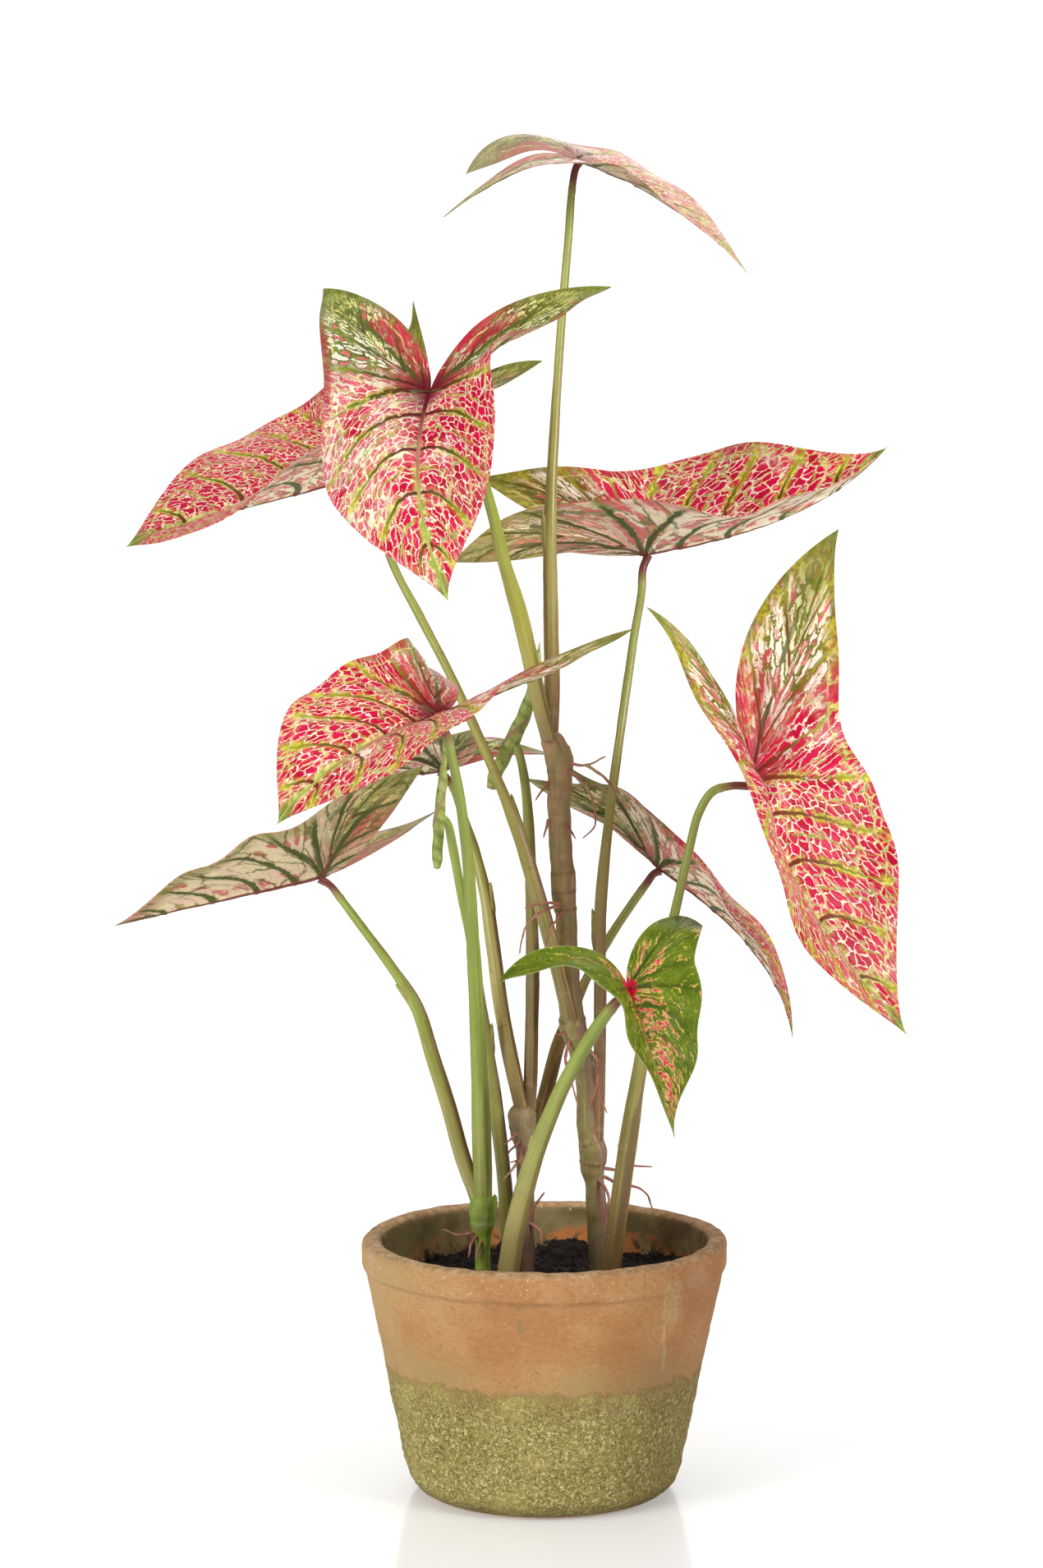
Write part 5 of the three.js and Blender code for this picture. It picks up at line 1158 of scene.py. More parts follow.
SPREAD_FROM, SPREAD_WHOLLY = 58.0, 118.0  # the bearings between which the front becomes a lobe
FRONT_VEINS, LOBE_VEINS = 5, 4  # side veins on each half of the front, and on each lobe
VEIN_STEPS = (0.0, 0.05, 0.12, 0.22, 0.35, 0.5, 0.65, 0.78, 0.88, 0.95)
ACROSS = np.array([0.0, 0.015, 0.04, 0.08, 0.13, 0.2, 0.28, 0.36, 0.44, 0.52, 0.6, 0.68, 0.75, 0.82, 0.87, 0.91,
                   0.95, 0.98, 1.0])  # from a rib, 0, to the margin, 1
RAD = math.pi / 180.0


def mixed(a, b, t):
    return a + (b - a) * t


def unit(v):
    return v / np.linalg.norm(v, axis=-1, keepdims=True)


def bezier(a, b, c, d, t):
    t = t[:, None]
    return (1 - t) ** 3 * a + 3 * (1 - t) ** 2 * t * b + 3 * (1 - t) * t * t * c + t ** 3 * d


def front_margin(leaf, t):
    return np.stack([0.16 + 0.84 * t, leaf["width"] * (1 - t ** leaf["fullness"]) ** 1.5], -1)


def lobe_margins(leaf, half, t):
    """The lobe's outer and inner edges, from the waist and from the joint to its tip."""
    reach, beta = leaf["lobe"] * half["reach"], leaf["spread"] * RAD
    tip = reach * np.array([-math.cos(beta), math.sin(beta)])
    outer = bezier(np.array([0.16, leaf["width"]]), np.array([-0.04, leaf["width"]]), tip + (0.2, -0.1), tip, t)
    inner = bezier(np.zeros(2), np.array([-0.2, 0.0]), tip + np.array([0.1, -0.42]) * reach, tip, t)
    return outer, inner, tip


def arch(u, angle, rate):
    """A strip that leaves a rib at an angle and curls evenly: out from it and up."""
    rate = np.where(np.abs(rate) < 1e-5, 1e-5, rate)
    return (np.sin(angle + rate * u) - np.sin(angle)) / rate, (np.cos(angle) - np.cos(angle + rate * u)) / rate


def midrib_frame(leaf, x):
    down = (leaf["droop"][0] * x + leaf["droop"][1] * x * x) * RAD
    turn, twist = leaf["sweep"] * x * RAD, leaf["twist"] * x * RAD
    forward = np.stack([np.cos(turn) * np.cos(down), np.sin(turn) * np.cos(down), -np.sin(down)], -1)
    level = np.stack([-np.sin(turn), np.cos(turn), 0 * turn], -1)
    up = np.cross(forward, level)
    c, s = np.cos(twist)[..., None], np.sin(twist)[..., None]
    return forward, c * level + s * up, c * up - s * level


def lobe_frame(leaf, half, side, along):
    beta, raised = leaf["spread"] * RAD, half["fold"][0] * RAD
    out, back = np.array([0.0, side * math.cos(raised), math.sin(raised)]), np.array([-1.0, 0.0, 0.0])
    rib, across = math.cos(beta) * back + math.sin(beta) * out, -math.sin(beta) * back + math.cos(beta) * out
    up = -side * np.cross(rib, across)
    lift, swing = half["lift"] * along * RAD, half["swing"] * along * RAD
    cl, sl, cs, ss = (f[..., None] for f in (np.cos(lift), np.sin(lift), np.cos(swing), np.sin(swing)))
    forward = cl * cs * rib + cl * ss * across + sl * up
    aside = -ss * rib + cs * across
    above = -side * np.cross(forward, aside)
    twist = (half["twist"] * np.maximum(along, 0) ** 1.3 * RAD)[..., None]
    return forward, np.cos(twist) * aside + np.sin(twist) * above, np.cos(twist) * above - np.sin(twist) * aside


def walked(frame_at, span, s):
    """Where a path has led after the distance s, for a direction that turns on the way."""
    steps = 96
    ticks = np.linspace(0.0, span, steps + 1)
    ways = frame_at((ticks[1:] + ticks[:-1]) / 2)[0]
    places = np.vstack([np.zeros(3), np.cumsum(ways * (span / steps), axis=0)])
    return np.stack([np.interp(s, ticks, places[:, k]) for k in range(3)], -1)


def bend_blade(leaf, side, flat):
    """The place in space, in millimetres, of flat points (x, u) on one side of a blade."""
    half = leaf["left" if side > 0 else "right"]
    x, u = flat[:, 0], flat[:, 1]
    curl, ahead = half["curl"] * RAD / 0.4, np.clip(x, 0.0, 1.0)
    _, left, up = midrib_frame(leaf, ahead)
    out, rise = arch(u, mixed(half["fold"][0], half["fold"][1], ahead) * RAD, curl)
    front = walked(lambda s: midrib_frame(leaf, s), 1.0, ahead)
    front = (front + np.minimum(x, 0)[:, None] * np.array([1.0, 0, 0]) + (side * out)[:, None] * left
             + rise[:, None] * up)

    beta = leaf["spread"] * RAD
    along, beside = -x * math.cos(beta) + u * math.sin(beta), x * math.sin(beta) + u * math.cos(beta)
    reach = np.maximum(along, 0.0)
    _, across, above = lobe_frame(leaf, half, side, reach)
    aside, raised = arch(np.abs(beside), leaf["vee"] * RAD * np.clip(reach / 0.3, 0, 1),
                         half["curl"] * RAD * 0.4 + 0 * reach)
    back = walked(lambda s: lobe_frame(leaf, half, side, s), 1.2, reach)
    start = lobe_frame(leaf, half, side, np.zeros(1))[0]
    back = (back + np.minimum(along, 0)[:, None] * start + (np.sign(beside) * aside)[:, None] * across
            + raised[:, None] * above)

    bearing = np.arctan2(u, x + 1e-9) / RAD
    blend = np.clip((bearing - SPREAD_FROM) / (SPREAD_WHOLLY - SPREAD_FROM), 0, 1)
    blend = (blend * blend * (3 - 2 * blend))[:, None]
    place = mixed(front, back, blend)
    normal = unit(mixed(up, above, blend))
    length = leaf["lobe"] * half["reach"]
    height = half["wave"] * np.minimum(u / leaf["width"], 1) ** 2 * np.clip((1 - x) / 0.25, 0, 1)
    height = height * np.clip((length - along) / (0.6 * length), 0, 1)
    place = place + (height * np.sin(2 * math.pi * (2.4 * (x + 0.25 * u) + half["phase"])))[:, None] * normal
    forward, level, up = blade_axes(leaf)
    turned = place[:, :1] * forward + place[:, 1:2] * level + place[:, 2:] * up
    return np.array(leaf["at"]) + leaf["length"] * turned


def blade_axes(leaf):
    heading, pitch, roll = leaf["heading"] * RAD, leaf["pitch"] * RAD, leaf["roll"] * RAD
    flat = math.cos(pitch)
    forward = np.array([flat * math.cos(heading), flat * math.sin(heading), math.sin(pitch)])
    level = np.array([-math.sin(heading), math.cos(heading), 0.0])
    up = np.cross(forward, level)
    return forward, math.cos(roll) * level + math.sin(roll) * up, math.cos(roll) * up - math.sin(roll) * level


def vein_sheets(leaf, side):
    """Flat grids for half a blade: every column follows a side vein or lies between two."""
    half = leaf["left" if side > 0 else "right"]
    stations = [n + s for n in range(-LOBE_VEINS, FRONT_VEINS) for s in VEIN_STEPS]
    stations = np.array([*stations, FRONT_VEINS], float)
    f, g = np.clip(stations / FRONT_VEINS, 0, 1), np.clip(-stations / LOBE_VEINS, 0, 1)
    beta = leaf["spread"] * RAD
    outer, _, tip = lobe_margins(leaf, half, g ** 0.85)
    ahead = (stations >= 0)[:, None]
    margin = np.where(ahead, front_margin(leaf, f ** 0.74), outer)
    bowed = (0.035 * np.sin(math.pi * g ** 2.6))[:, None] * np.array([math.sin(beta), math.cos(beta)])
    rib = np.where(ahead, np.stack([f ** 1.25, 0 * f], -1), (g ** 2.6)[:, None] * tip + bowed)
    bow = -0.075 * np.sin(math.pi * np.minimum(f + 0.06, 1.0) ** 0.8) * (0.6 + leaf["width"]) * (stations >= 0)
    sheet = mixed(rib[:, None], margin[:, None], ACROSS[None, :, None])
    sheet = sheet + (bow[:, None] * np.sin(math.pi * ACROSS[None] ** 0.85))[..., None] * np.array([1.0, 0.0])
    back, narrow = stations <= 0, ACROSS[::2]
    inner = lobe_margins(leaf, half, g[back] ** 0.75)[1]
    inner_sheet = mixed(rib[back][:, None], inner[:, None], narrow[None, :, None])
    return [(stations, ACROSS, sheet, False), (stations[back], narrow, inner_sheet, True)]


def nearest(points, line):
    """The distance from each point to a line of points, piece by piece."""
    a, b = line[:-1], line[1:]
    step = b - a
    t = np.clip(((points[:, None] - a) * step).sum(-1) / np.maximum((step ** 2).sum(-1), 1e-12), 0, 1)
    return np.sqrt((((a + t[..., None] * step) - points[:, None]) ** 2).sum(-1)).min(1)


def grow_blade(leaf, seed):
    """A blade's points and faces with its thickness, and what its skin reads at each corner."""
    size = leaf["length"]
    flats, places, quads, facts, count = [], [], [], [], 0
    for side in (1, -1):
        half = leaf["left" if side > 0 else "right"]
        t = np.linspace(0, 1, 60)
        outer, inner, tip = lobe_margins(leaf, half, t)
        far_edge = np.vstack([outer[::-1], front_margin(leaf, 1 - (1 - t) ** 1.3)])
        near_edge = inner[14:]  # past the notch, where the two lobes part
        for stations, w, sheet, inward in vein_sheets(leaf, side):
            nc, nr = sheet.shape[:2]
            flat = sheet.reshape(-1, 2)
            v, across = np.repeat(stations, nr), np.tile(w, nc)
            toward = np.round(stations).astype(int)
            columns = {n: int(np.argmin(abs(stations - n))) for n in set(toward)}
            side_vein = np.linalg.norm(sheet - sheet[[columns[n] for n in toward]], axis=-1).ravel() * size
            beta = leaf["spread"] * RAD
            beside = np.abs(flat[:, 0] * math.sin(beta) + flat[:, 1] * math.cos(beta))
            rib = np.where(v >= 0, flat[:, 1], beside) * size
            margin = np.minimum(nearest(flat, far_edge), nearest(flat, near_edge)) * size
            joint = np.linalg.norm(flat, axis=-1) * size
            lobe = np.clip(-v / 0.9, 0, 1)
            run = np.linalg.norm(sheet - sheet[:, :1], axis=-1).ravel() * size * (-1 if inward else 1)
            spacing = size * np.where(v >= 0, 0.155, 0.120)  # from one side vein to the next
            # each leaf's numbers are shifted, so that no two blades share a pattern
            facts.append(np.stack([
                np.stack([flat[:, 0] * size + 300.0 * seed, side * flat[:, 1] * size,
                          np.full(len(flat), 3.0 if inward else 0.0)], -1),
                np.stack([v, across * (-1 if inward else 1), side_vein], -1),
                np.stack([rib, margin, joint], -1),
                np.stack([v * spacing + side * 57.0 + 131.0 * seed, run, lobe], -1)], 1))
            flats.append(np.stack([flat[:, 0], side * flat[:, 1], np.zeros(len(flat))], -1))
            places.append(bend_blade(leaf, side, flat))
            grid = count + np.arange(nc * nr).reshape(nc, nr)
            quad = np.stack([grid[:-1, :-1], grid[1:, :-1], grid[1:, 1:], grid[:-1, 1:]], -1).reshape(-1, 4)
            quads.append(quad if (side > 0) != inward else quad[:, ::-1])
            count += nc * nr
    flats, places, quads, facts = np.vstack(flats), np.vstack(places), np.vstack(quads), np.vstack(facts)
    # corners that lie on one spot are welded
    _, first, weld = np.unique(np.round(flats * 2e4).astype(int), axis=0, return_index=True, return_inverse=True)
    weld = weld.ravel()
    middle = places[first]
    corners = []
    for quad in quads:
        kept = [c for i, c in enumerate(quad) if weld[c] != weld[quad[i - 1]]]
        if len({int(weld[c]) for c in kept}) >= 3:
            corners.append(kept)
    normals = np.zeros_like(middle)
    for face in corners:
        p = middle[weld[face]]
        area = np.cross(p[2] - p[0], p[-1] - p[1]) if len(face) == 4 else np.cross(p[1] - p[0], p[2] - p[0])
        normals[weld[face]] += area
    normals = unit(normals + 1e-12)

    v, across, side_vein = facts[first][:, 1].T
    rib, margin, joint = facts[first][:, 2].T
    between = np.abs(np.sin(math.pi * v))
    away = np.abs(across)
    fade = np.clip(margin / 6.0, 0, 1) * np.clip(joint / 10.0, 0, 1)
    relief = 0.6 if size < 70 else 1.0  # a young blade is flatter
    puff = relief * (between ** 1.3 * np.sin(math.pi * np.clip(away, 0, 1) ** 0.7) * fade)
    crinkle = np.array([noise.fractal(Vector(p) / 7.0, 0.9, 2.1, 3) for p in middle]) * 0.35 * fade
    side_line = np.exp(-(side_vein / 0.75) ** 2) * (1 - 0.65 * away)
    rib_line = np.exp(-(rib / 1.1) ** 2) * np.clip((size * 1.05 - joint) / size, 0.1, 1)
    body = 0.20 + 0.16 * np.exp(-rib / 5.0) * np.clip(margin / 3.0, 0, 1)
    above = body + puff + crinkle - relief * (0.38 * side_line + 0.40 * rib_line) * np.clip(margin / 2.0, 0, 1)
    below = body - puff - crinkle + relief * (0.34 * side_line + 0.75 * rib_line) * np.clip(margin / 2.0, 0, 1)
    points = np.vstack([middle + normals * above[:, None], middle - normals * below[:, None]])
    n = len(middle)
    flipped = [face[::-1] for face in corners]
    faces = [[int(weld[c]) for c in face] for face in corners]
    faces += [[int(weld[c]) + n for c in face] for face in flipped]
    picked = corners + flipped
    finish = [0] * len(corners) + [1] * len(corners)
    edges = {(int(weld[ca]), int(weld[cb])): (ca, cb) for face in corners
             for ca, cb in zip(face, face[1:] + face[:1])}
    for (a, b), (ca, cb) in edges.items():
        if (b, a) not in edges:
            faces.append([b, a, a + n, b + n])
            picked.append([cb, ca, ca, cb])
            finish.append(0)
    read = facts[np.array([c for face in picked for c in face])]
    return points, faces, finish, read


def make_blade(name, leaf, seed, finishes):
    points, faces, finish, read = grow_blade(leaf, seed)
    blade = make_piece(name, points, faces, finishes, sharp=60)
    for column, label in enumerate(("lamina", "veins", "edges", "net")):
        note(blade.data, label, read[:, column], "CORNER")
    tone = np.tile(np.array(leaf["tone"], float), (len(read), 1))
    tone[:, 0] -= leaf.get("right_paler", 0.0) * read[:, 0, 1] / leaf["length"]
    note(blade.data, "tone", tone, "CORNER")
    blade.data.polygons.foreach_set("material_index", finish)
    return blade


def paint_blade(name, under=False, young=False, faded=False):
    """The skin of a blade: red cells in a pale net, darker main veins, pale lobes, pink margin."""
    finish, leaf = make_finish(name)
    lamina = leaf.attribute("lamina")
    inward = lamina.parts()[2].math("DIVIDE", 3.0)
    v, across, side_vein = leaf.attribute("veins").parts()
    rib, margin, joint = leaf.attribute("edges").parts()
    along, run, lobe = leaf.attribute("net").parts()
    pallor, gold, grain = leaf.attribute("tone").parts()
    away = abs(across)
    shake = lamina.noise(0.28, 3.0, 0.6, 1).vector("SUBTRACT", (0.5, 0.5, 0.5))
    length_share = gold * (lobe * -0.55 + 0.55) + (lobe * -0.25 + 0.52)
    flow = leaf.join(along, run * length_share)
    flow = flow.vector("ADD", shake.vector("MULTIPLY", (3.4, 3.4, 0.0)))
    flow = flow.vector("DIVIDE", leaf.join(grain, grain, 1.0))

    def patchy(scale, low, high, detail=3.0):
        return lamina.noise(scale, detail, 0.6).smooth(low, high)

    def cells(size, feature="DISTANCE_TO_EDGE", output="Distance"):
        return leaf.value("ShaderNodeTexVoronoi", {"Vector": flow, "Scale": 1.0 / size}, output,
                          feature=feature, voronoi_dimensions="2D")

    # the side veins waver a little beside their grooves
    sign = (v - v.math("ROUND")).math("SIGN")
    wander = shake.parts()[0] * away.smooth(0.04, 0.25)
    off_vein = abs(wander * 3.2 + side_vein * sign)

    gap = cells(2.5)
    chance = cells(2.5, "F1", "Color").parts()
    zone = lamina.noise(0.05, 3.0, 0.55) + pallor
    pale_zone = zone.smooth(0.52, 0.68)
    broken = lamina.noise(0.42, 3.0, 0.6) * 0.28 - 0.1
    width = pale_zone * 0.036 + broken
    line = (gap - width).smooth(0.045, 0.0)
    big_gap = cells(7.5)

    red = leaf.mix(chance[0], (0.46, 0.0, 0.026), (0.7, 0.002, 0.072))
    red = red.lay(patchy(0.11, 0.58, 0.8), (0.78, 0.09, 0.17))
    cream = leaf.mix(patchy(0.16, 0.4, 0.6), (0.93, 0.75, 0.67), (0.93, 0.84, 0.55))
    lost = (pale_zone > 0.55) * (chance[1] > 0.94)
    fine_line = cells(1.25).smooth(0.085, 0.03) * pale_zone
    colour = leaf.mix(pale_zone * 0.22, red, (0.9, 0.42, 0.44))
    colour = colour.lay(line.or_more(lost).or_more(fine_line * 0.75), cream)
    lime = leaf.mix(patchy(0.4, 0.35, 0.65), (0.3, 0.38, 0.01), (0.76, 0.72, 0.08))

    # branch veins: a wider net, yellow-green in the red and olive where the blade is pale
    branch = big_gap.smooth(0.07, 0.022) * patchy(0.1, 0.38, 0.5)
    colour = colour.lay(branch * 0.72, leaf.mix(0.55, cream, lime))
    core = big_gap.smooth(0.034, 0.012) * patchy(0.07, 0.48, 0.58)
    colour = colour.lay(core * 0.75, (0.17, 0.2, 0.018))

    # the lobes: long cream streaks between dark green veins, greener towards their tips
    slit = cells(1.7)
    dice = cells(1.7, "F1", "Color").parts()
    leafgreen = leaf.mix(patchy(0.22, 0.35, 0.65), (0.05, 0.09, 0.008), (0.17, 0.24, 0.018))
    leafgreen = leafgreen.lay(gold * 0.55, (0.19, 0.165, 0.008))
    streak_colour = leaf.mix((v + gold).smooth(-1.6, -3.2), (0.94, 0.84, 0.68), (0.72, 0.72, 0.2))
    ruddy = dice[2] > v.smooth(-0.3, -2.4) * 0.45 + (gold * -0.42 + 0.52)
    torn = flow.noise(0.75, 3.0, 0.65).smooth(0.4, 0.52)
    ruddy = ruddy * (gold * (torn - 1.0) + 1.0)
    rosy = flow.noise(1.1, 3.0, 0.7).smooth(0.5, 0.62) * (gold * 0.75 + 0.1)
    streak_colour = streak_colour.lay(rosy, (0.74, 0.13, 0.19))
    streak_colour = streak_colour.lay(ruddy * 0.92, leaf.mix(dice[0], (0.44, 0.002, 0.028), (0.78, 0.08, 0.13)))
    filled = lamina.noise(0.09, 4.0, 0.6) * 0.85 + (gold * -0.1 - 0.24)
    streak = leaf.mix((slit - filled).smooth(-0.03, 0.05), leafgreen, streak_colour)
    streak = streak.lay(off_vein.smooth(2.6, 0.9) * 0.85, leafgreen)
    streak = streak.lay(margin.smooth(3.4, 1.2) * 0.8, leafgreen)
    far_lobe = (lamina.noise(0.09, 2.0) * 1.6 + v + gold).smooth(0.5, -0.5)
    golden = leaf.mix(patchy(0.35, 0.38, 0.62), (0.24, 0.2, 0.006), (0.56, 0.5, 0.03))
    gold_edge = margin.smooth(10.0, 3.0) * (gold * patchy(0.09, 0.4, 0.56))
    streak = streak.lay(gold_edge, golden)
    colour = colour.lay(gold_edge * gap.smooth(0.16, 0.02), lime)
    colour = colour.lay(far_lobe * 0.95, streak)
    rusty = margin.smooth(4.2, 2.2) * (v.smooth(-2.6, -1.6) * v.smooth(0.1, -0.4))
    rusty = rusty * (patchy(0.1, 0.4, 0.52) * (1.0 - inward.or_more(gold)))
    colour = colour.lay(rusty * 0.8, (0.38, 0.035, 0.04))
    inner_red = joint.smooth(gold * 36.0 + 20.0, 8.0) * v.smooth(0.0, -0.5)
    inner_red = inner_red.or_more(joint.smooth(56.0, 34.0) * (inward * away.smooth(0.15, 0.4)))
    inner_red = inner_red * patchy(0.1, 0.32, 0.46)
    flush = leaf.mix(gap.smooth(0.02, 0.08), (0.17, 0.1, 0.02),
                     leaf.mix(chance[0], (0.36, 0.002, 0.024), (0.62, 0.006, 0.05)))
    colour = colour.lay(inner_red * 0.9, flush)

    # yellow-green beside the veins, the vein that runs round inside the margin, the fainter
    # veins between the side veins, the pink edge and the green tips
    halo = off_vein.smooth(gold * 1.5 + 2.6, 0.4) * (away.smooth(0.0, 0.6) * 0.7 + (gold * 0.35 + 0.1))
    halo = halo * (patchy(0.14, 0.38, 0.56) * v.smooth(-0.9, -0.2))
    colour = colour.lay(halo, lime)
    mid_halo = rib.smooth(gold * 1.4 + 3.0, 0.8) * v.smooth(gold * -0.8 + 1.6, gold * -1.0 + 3.3)
    mid_halo = mid_halo * patchy(0.15, 0.38, 0.58)
    colour = colour.lay(mid_halo, leaf.mix(patchy(0.2, 0.4, 0.6), (0.26, 0.4, 0.03), (0.72, 0.72, 0.24)))
    wavering = lamina.noise(0.08) * 6.0 - 3.0
    ring = abs(margin + wavering - 4.8).smooth(0.6, 0.1)
    ring = ring * patchy(0.1, 0.36, 0.55)
    colour = colour.lay(ring * 0.75, leaf.mix(0.6, cream, lime))
    half_way = abs((shake.parts()[0] * 0.32 + v).math("FRACT") - 0.5)
    second = half_way.smooth(0.04, 0.012) * (away.smooth(0.04, 0.16) * away.smooth(0.93, 0.8))
    second = second * (patchy(0.09, 0.42, 0.54) * v.smooth(-0.6, 0.2))
    colour = colour.lay(second * 0.85, leaf.mix(0.5, (0.2, 0.24, 0.02), lime))
    edge_band = margin.smooth(2.6, 0.8) * patchy(0.12, 0.42, 0.6)
    edge_band = edge_band * (line * -0.6 + 1.0)
    colour = colour.lay(edge_band * (lobe * -0.7 + 0.8), (0.66, 0.1, 0.145))
    green_tip = v.smooth(4.35, 4.8).or_more(v.smooth(-2.9, -3.8) * 0.6)
    colour = colour.lay(green_tip, leaf.mix(lamina.noise(0.5), (0.08, 0.13, 0.015), (0.26, 0.3, 0.05)))

    # the young leaf is dark green instead, with gold and pink flecks along its midrib
    if young:
        blade_green = leaf.mix(patchy(0.12, 0.34, 0.66), (0.085, 0.14, 0.006), (0.15, 0.21, 0.012))
        blade_green = blade_green.lay(gap.smooth(0.09, 0.02) * 0.25, (0.22, 0.28, 0.03))
        blade_green = blade_green.lay(off_vein.smooth(1.2, 0.2) * 0.4, (0.06, 0.1, 0.008))
        on_left = lamina.parts()[1].smooth(-0.5, 1.5)
        reach = on_left * (v.smooth(-0.6, 0.5) * 7.0 + 1.5) + 3.6
        reach = reach + (lamina.noise(0.16, 3.0) * 18.0 - 9.0)
        near_rib = (rib - reach).smooth(2.5, -3.5) * off_vein.smooth(0.1, 1.0)
        near_rib = near_rib * (v.smooth(4.6, 4.0) * v.smooth(-2.8, -1.4))
        blots = near_rib * 0.195 + (flow.noise(0.46, 4.0, 0.66) * 1.6 - 0.43)
        colour = leaf.mix(blots.smooth(0.525, 0.55), blade_green, (0.6, 0.48, 0.04))
        colour = colour.lay(blots.smooth(0.575, 0.595),
                            leaf.mix(patchy(0.6, 0.42, 0.58), (0.88, 0.64, 0.36), (0.84, 0.34, 0.26)))
        inner_tone = leaf.mix(patchy(0.35, 0.5, 0.64), (0.62, 0.015, 0.05), (0.84, 0.26, 0.22))
        colour = colour.lay(blots.smooth(0.615, 0.645), inner_tone)
        specks = lamina.noise(1.0, 3.0, 0.7).smooth(0.61, 0.66) * patchy(0.1, 0.48, 0.58)
        colour = colour.lay(specks * (margin.smooth(2.0, 5.0) * 0.85), (0.62, 0.6, 0.03))
        colour = colour.lay(margin.smooth(0.45, 0.15), (0.26, 0.31, 0.09))

    # the main veins and the midrib, and the stain round the joint
    thick = joint.smooth(26.0, 6.0) * 0.22 + gold * 0.14 + (away * -0.4 + (0.7 if under else 0.66))
    main = (off_vein - thick).smooth(0.4, 0.0)
    main = main * away.smooth(0.97, 0.8)
    outer_vein = leaf.mix(away.smooth(0.5, 0.85), (0.075, 0.095, 0.008), (0.26, 0.32, 0.02))
    outer_vein = outer_vein.lay(gold * 0.85,
                                leaf.mix(away.smooth(0.45, 0.85), (0.23, 0.04, 0.006), (0.42, 0.34, 0.02)))
    main_colour = leaf.mix(away.smooth(0.1, 0.5), leaf.mix(gold, (0.12, 0.012, 0.01), (0.21, 0.016, 0.006)),
                           outer_vein)
    rib_half = v.smooth(0.0, 4.6) * -0.5 + 0.9
    rib_line = (rib - rib_half).smooth(0.35, 0.0)
    rib_colour = leaf.mix(v.smooth(0.5, 1.9), (0.14, 0.014, 0.02), (0.5, 0.25, 0.15))
    rib_colour = rib_colour.lay(v.smooth(2.2, 3.8), (0.42, 0.48, 0.09))
    rib_colour = rib_colour.lay(v.smooth(gold * -1.0 - 0.5, gold * -1.6 - 1.8), (0.09, 0.11, 0.012))
    rib_line = rib_line * v.smooth(-3.9, -2.6)
    if young:
        rib_line = rib.smooth(0.95, 0.45) * v.smooth(-3.2, -2.2)
        main_colour = (0.055, 0.085, 0.01)
        rib_colour = leaf.mix(v.smooth(0.6, 3.4), (0.36, 0.1, 0.035), (0.3, 0.3, 0.06))
        rib_colour = rib_colour.lay(v.smooth(0.1, -0.4),
                                    leaf.mix(on_left, (0.34, 0.15, 0.09), (0.05, 0.075, 0.012)))
        rib_colour = rib_colour.lay(joint.smooth(5.0, 3.0), (0.6, 0.01, 0.04))
    colour = colour.lay(main * (0.4 if young else 0.97), main_colour)
    colour = colour.lay(rib_line, rib_colour)
    blush = joint.smooth(4.6, 3.2) if young else joint.smooth(gold * 6.0 + 12.5, 3.5) * 0.88
    colour = colour.lay(blush, (0.62, 0.01, 0.04) if young else (0.2, 0.012, 0.022))

    # an old blade's upper side has lost its colour; every underside is paler, with plain veins, and a grown
    # blade's underside is lightened further by painted light
    if faded and not under:
        colour = colour.lay(0.3, (0.76, 0.6, 0.46))
    if under:
        chalk = leaf.mix(patchy(0.045, 0.4, 0.62), (0.96, 0.64, 0.5), (0.94, 0.86, 0.58))
        colour = colour.lay(0.34 if young else 0.2, (0.24, 0.3, 0.1) if young else chalk)
        vein_tone = leaf.mix(away.smooth(0.01, 0.1), (0.19, 0.035, 0.03), (0.075, 0.095, 0.02))
        if not young:
            drained = pallor * 3.0 + (gold * 0.3 + chance[2])
            drained = (drained > 0.5) * v.smooth(-2.4, -0.6)
            colour = colour.lay(drained * 0.88,
                                leaf.mix(patchy(0.09, 0.38, 0.62), (0.95, 0.76, 0.62), (0.95, 0.88, 0.62)))
            flushed = margin.smooth(8.5, 1.5) * (patchy(0.07, 0.38, 0.52) * v.smooth(-1.6, -0.4))
            olive = pallor.smooth(0.02, 0.1) * v.smooth(4.2, 3.0)
            colour = colour.lay(flushed * 0.66, leaf.mix(olive, (0.62, 0.16, 0.17), (0.26, 0.27, 0.05)))
            net = gap.smooth(0.055, 0.012) * patchy(0.16, 0.34, 0.54)
            colour = colour.lay(net * 0.55, (0.2, 0.2, 0.05))
            wide_net = big_gap.smooth(0.075, 0.025) * patchy(0.08, 0.32, 0.5)
            colour = colour.lay(wide_net * 0.8, (0.12, 0.14, 0.028))
            shaded = off_vein.smooth(3.2, 0.4) * patchy(0.12, 0.36, 0.56)
            colour = colour.lay(shaded * 0.62, (0.2, 0.23, 0.045))
            # painted light: a grown blade's underside is brightened by 1.18 as if lit through the blade; an old
            # one's is tinted darker instead
            colour = colour.lay(1.0, (0.88, 0.83, 0.72) if faded else (1.18, 1.18, 1.18), "MULTIPLY")
        main = main.or_more((off_vein - (away * -0.7 + 1.35)).smooth(0.35, 0.0))
        raised = (main * away.smooth(0.99, 0.85)).or_more(rib_line)
        colour = colour.lay(raised * 0.92, vein_tone)
    surface = leaf.bump(gap.or_less(0.3), 0.6, 0.0008)
    rough = lamina.noise(0.6, 3.0) * 0.16 + (0.44 if under else 0.28)
    coat(leaf, colour, rough, surface, specular=0.14 if under else 0.16, Subsurface_Weight=0.2,
         Subsurface_Radius=(1.0, 0.5, 0.3), Subsurface_Scale=0.0005)
    return finish


def paint_pair(age="", **kind):
    return [paint_blade(f"{age}blade_{side}_skin", under=side == "lower", **kind) for side in ("upper", "lower")]


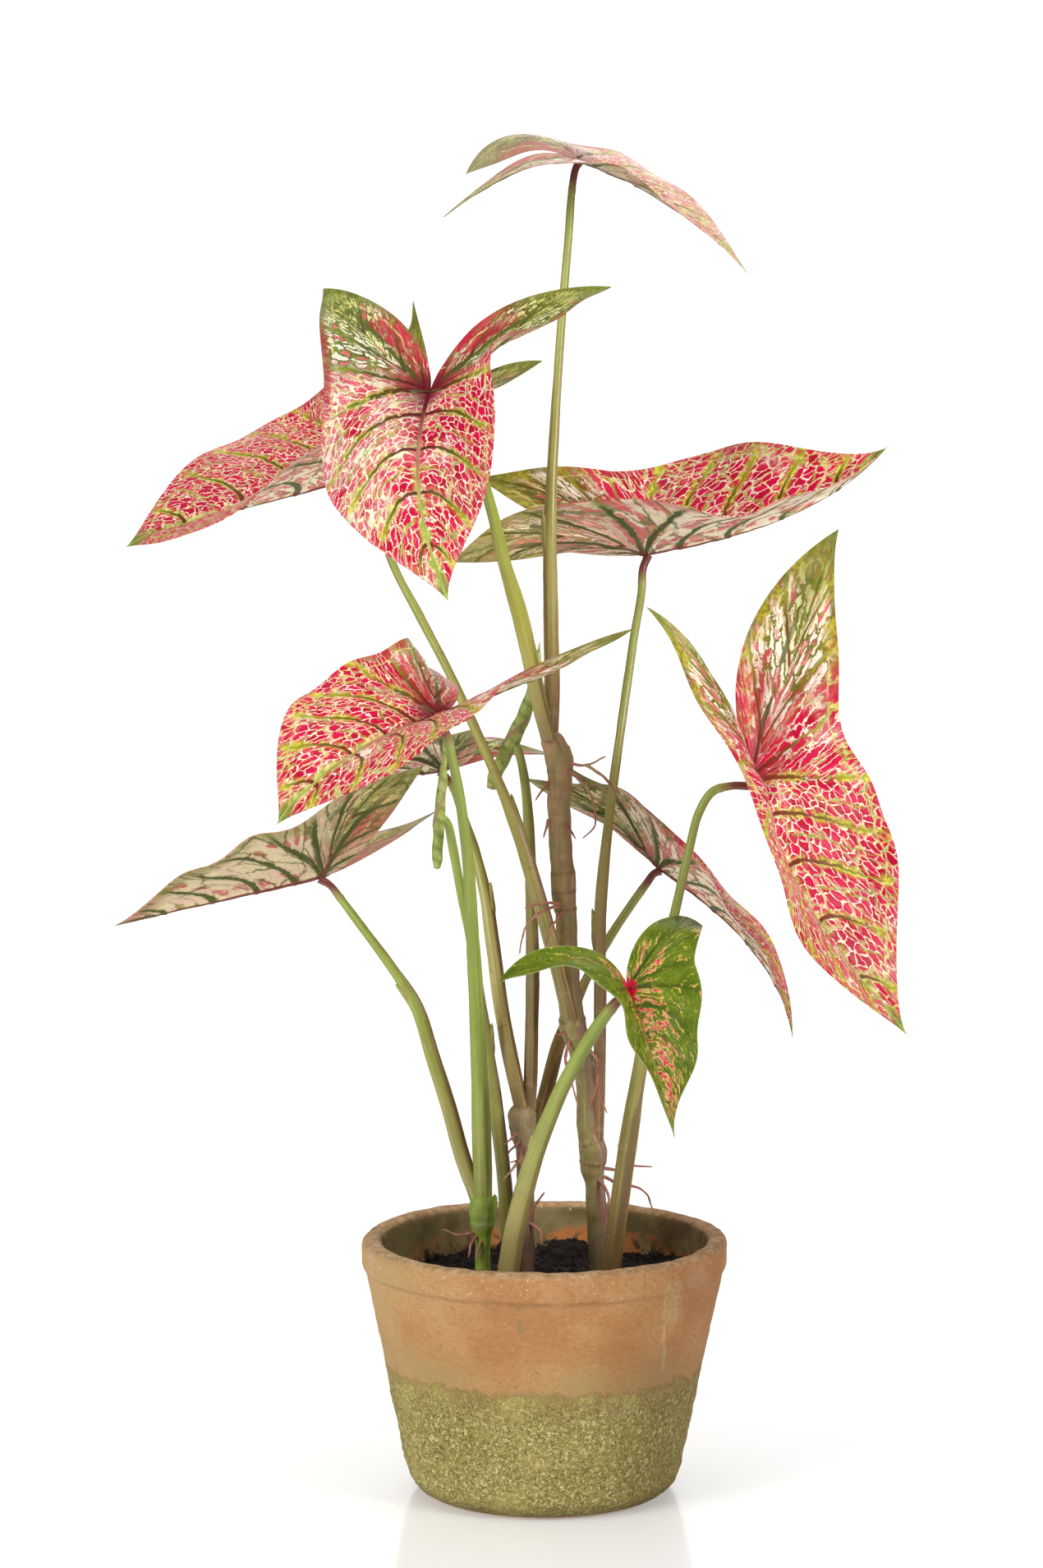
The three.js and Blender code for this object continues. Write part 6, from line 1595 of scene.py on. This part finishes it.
grown, old, fresh = paint_pair(), paint_pair("old_", faded=True), paint_pair("young_", young=True)
for seed, leaf in enumerate(BLADES, 1):
    is_young = leaf["name"] == "leaf_10"
    skins = fresh if is_young else old if leaf["name"] in ("leaf_1", "leaf_7") else grown
    blade = make_blade(leaf["name"] + "_veined", leaf, seed, skins)
    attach(blade, "root")
    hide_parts(leaf["name"])
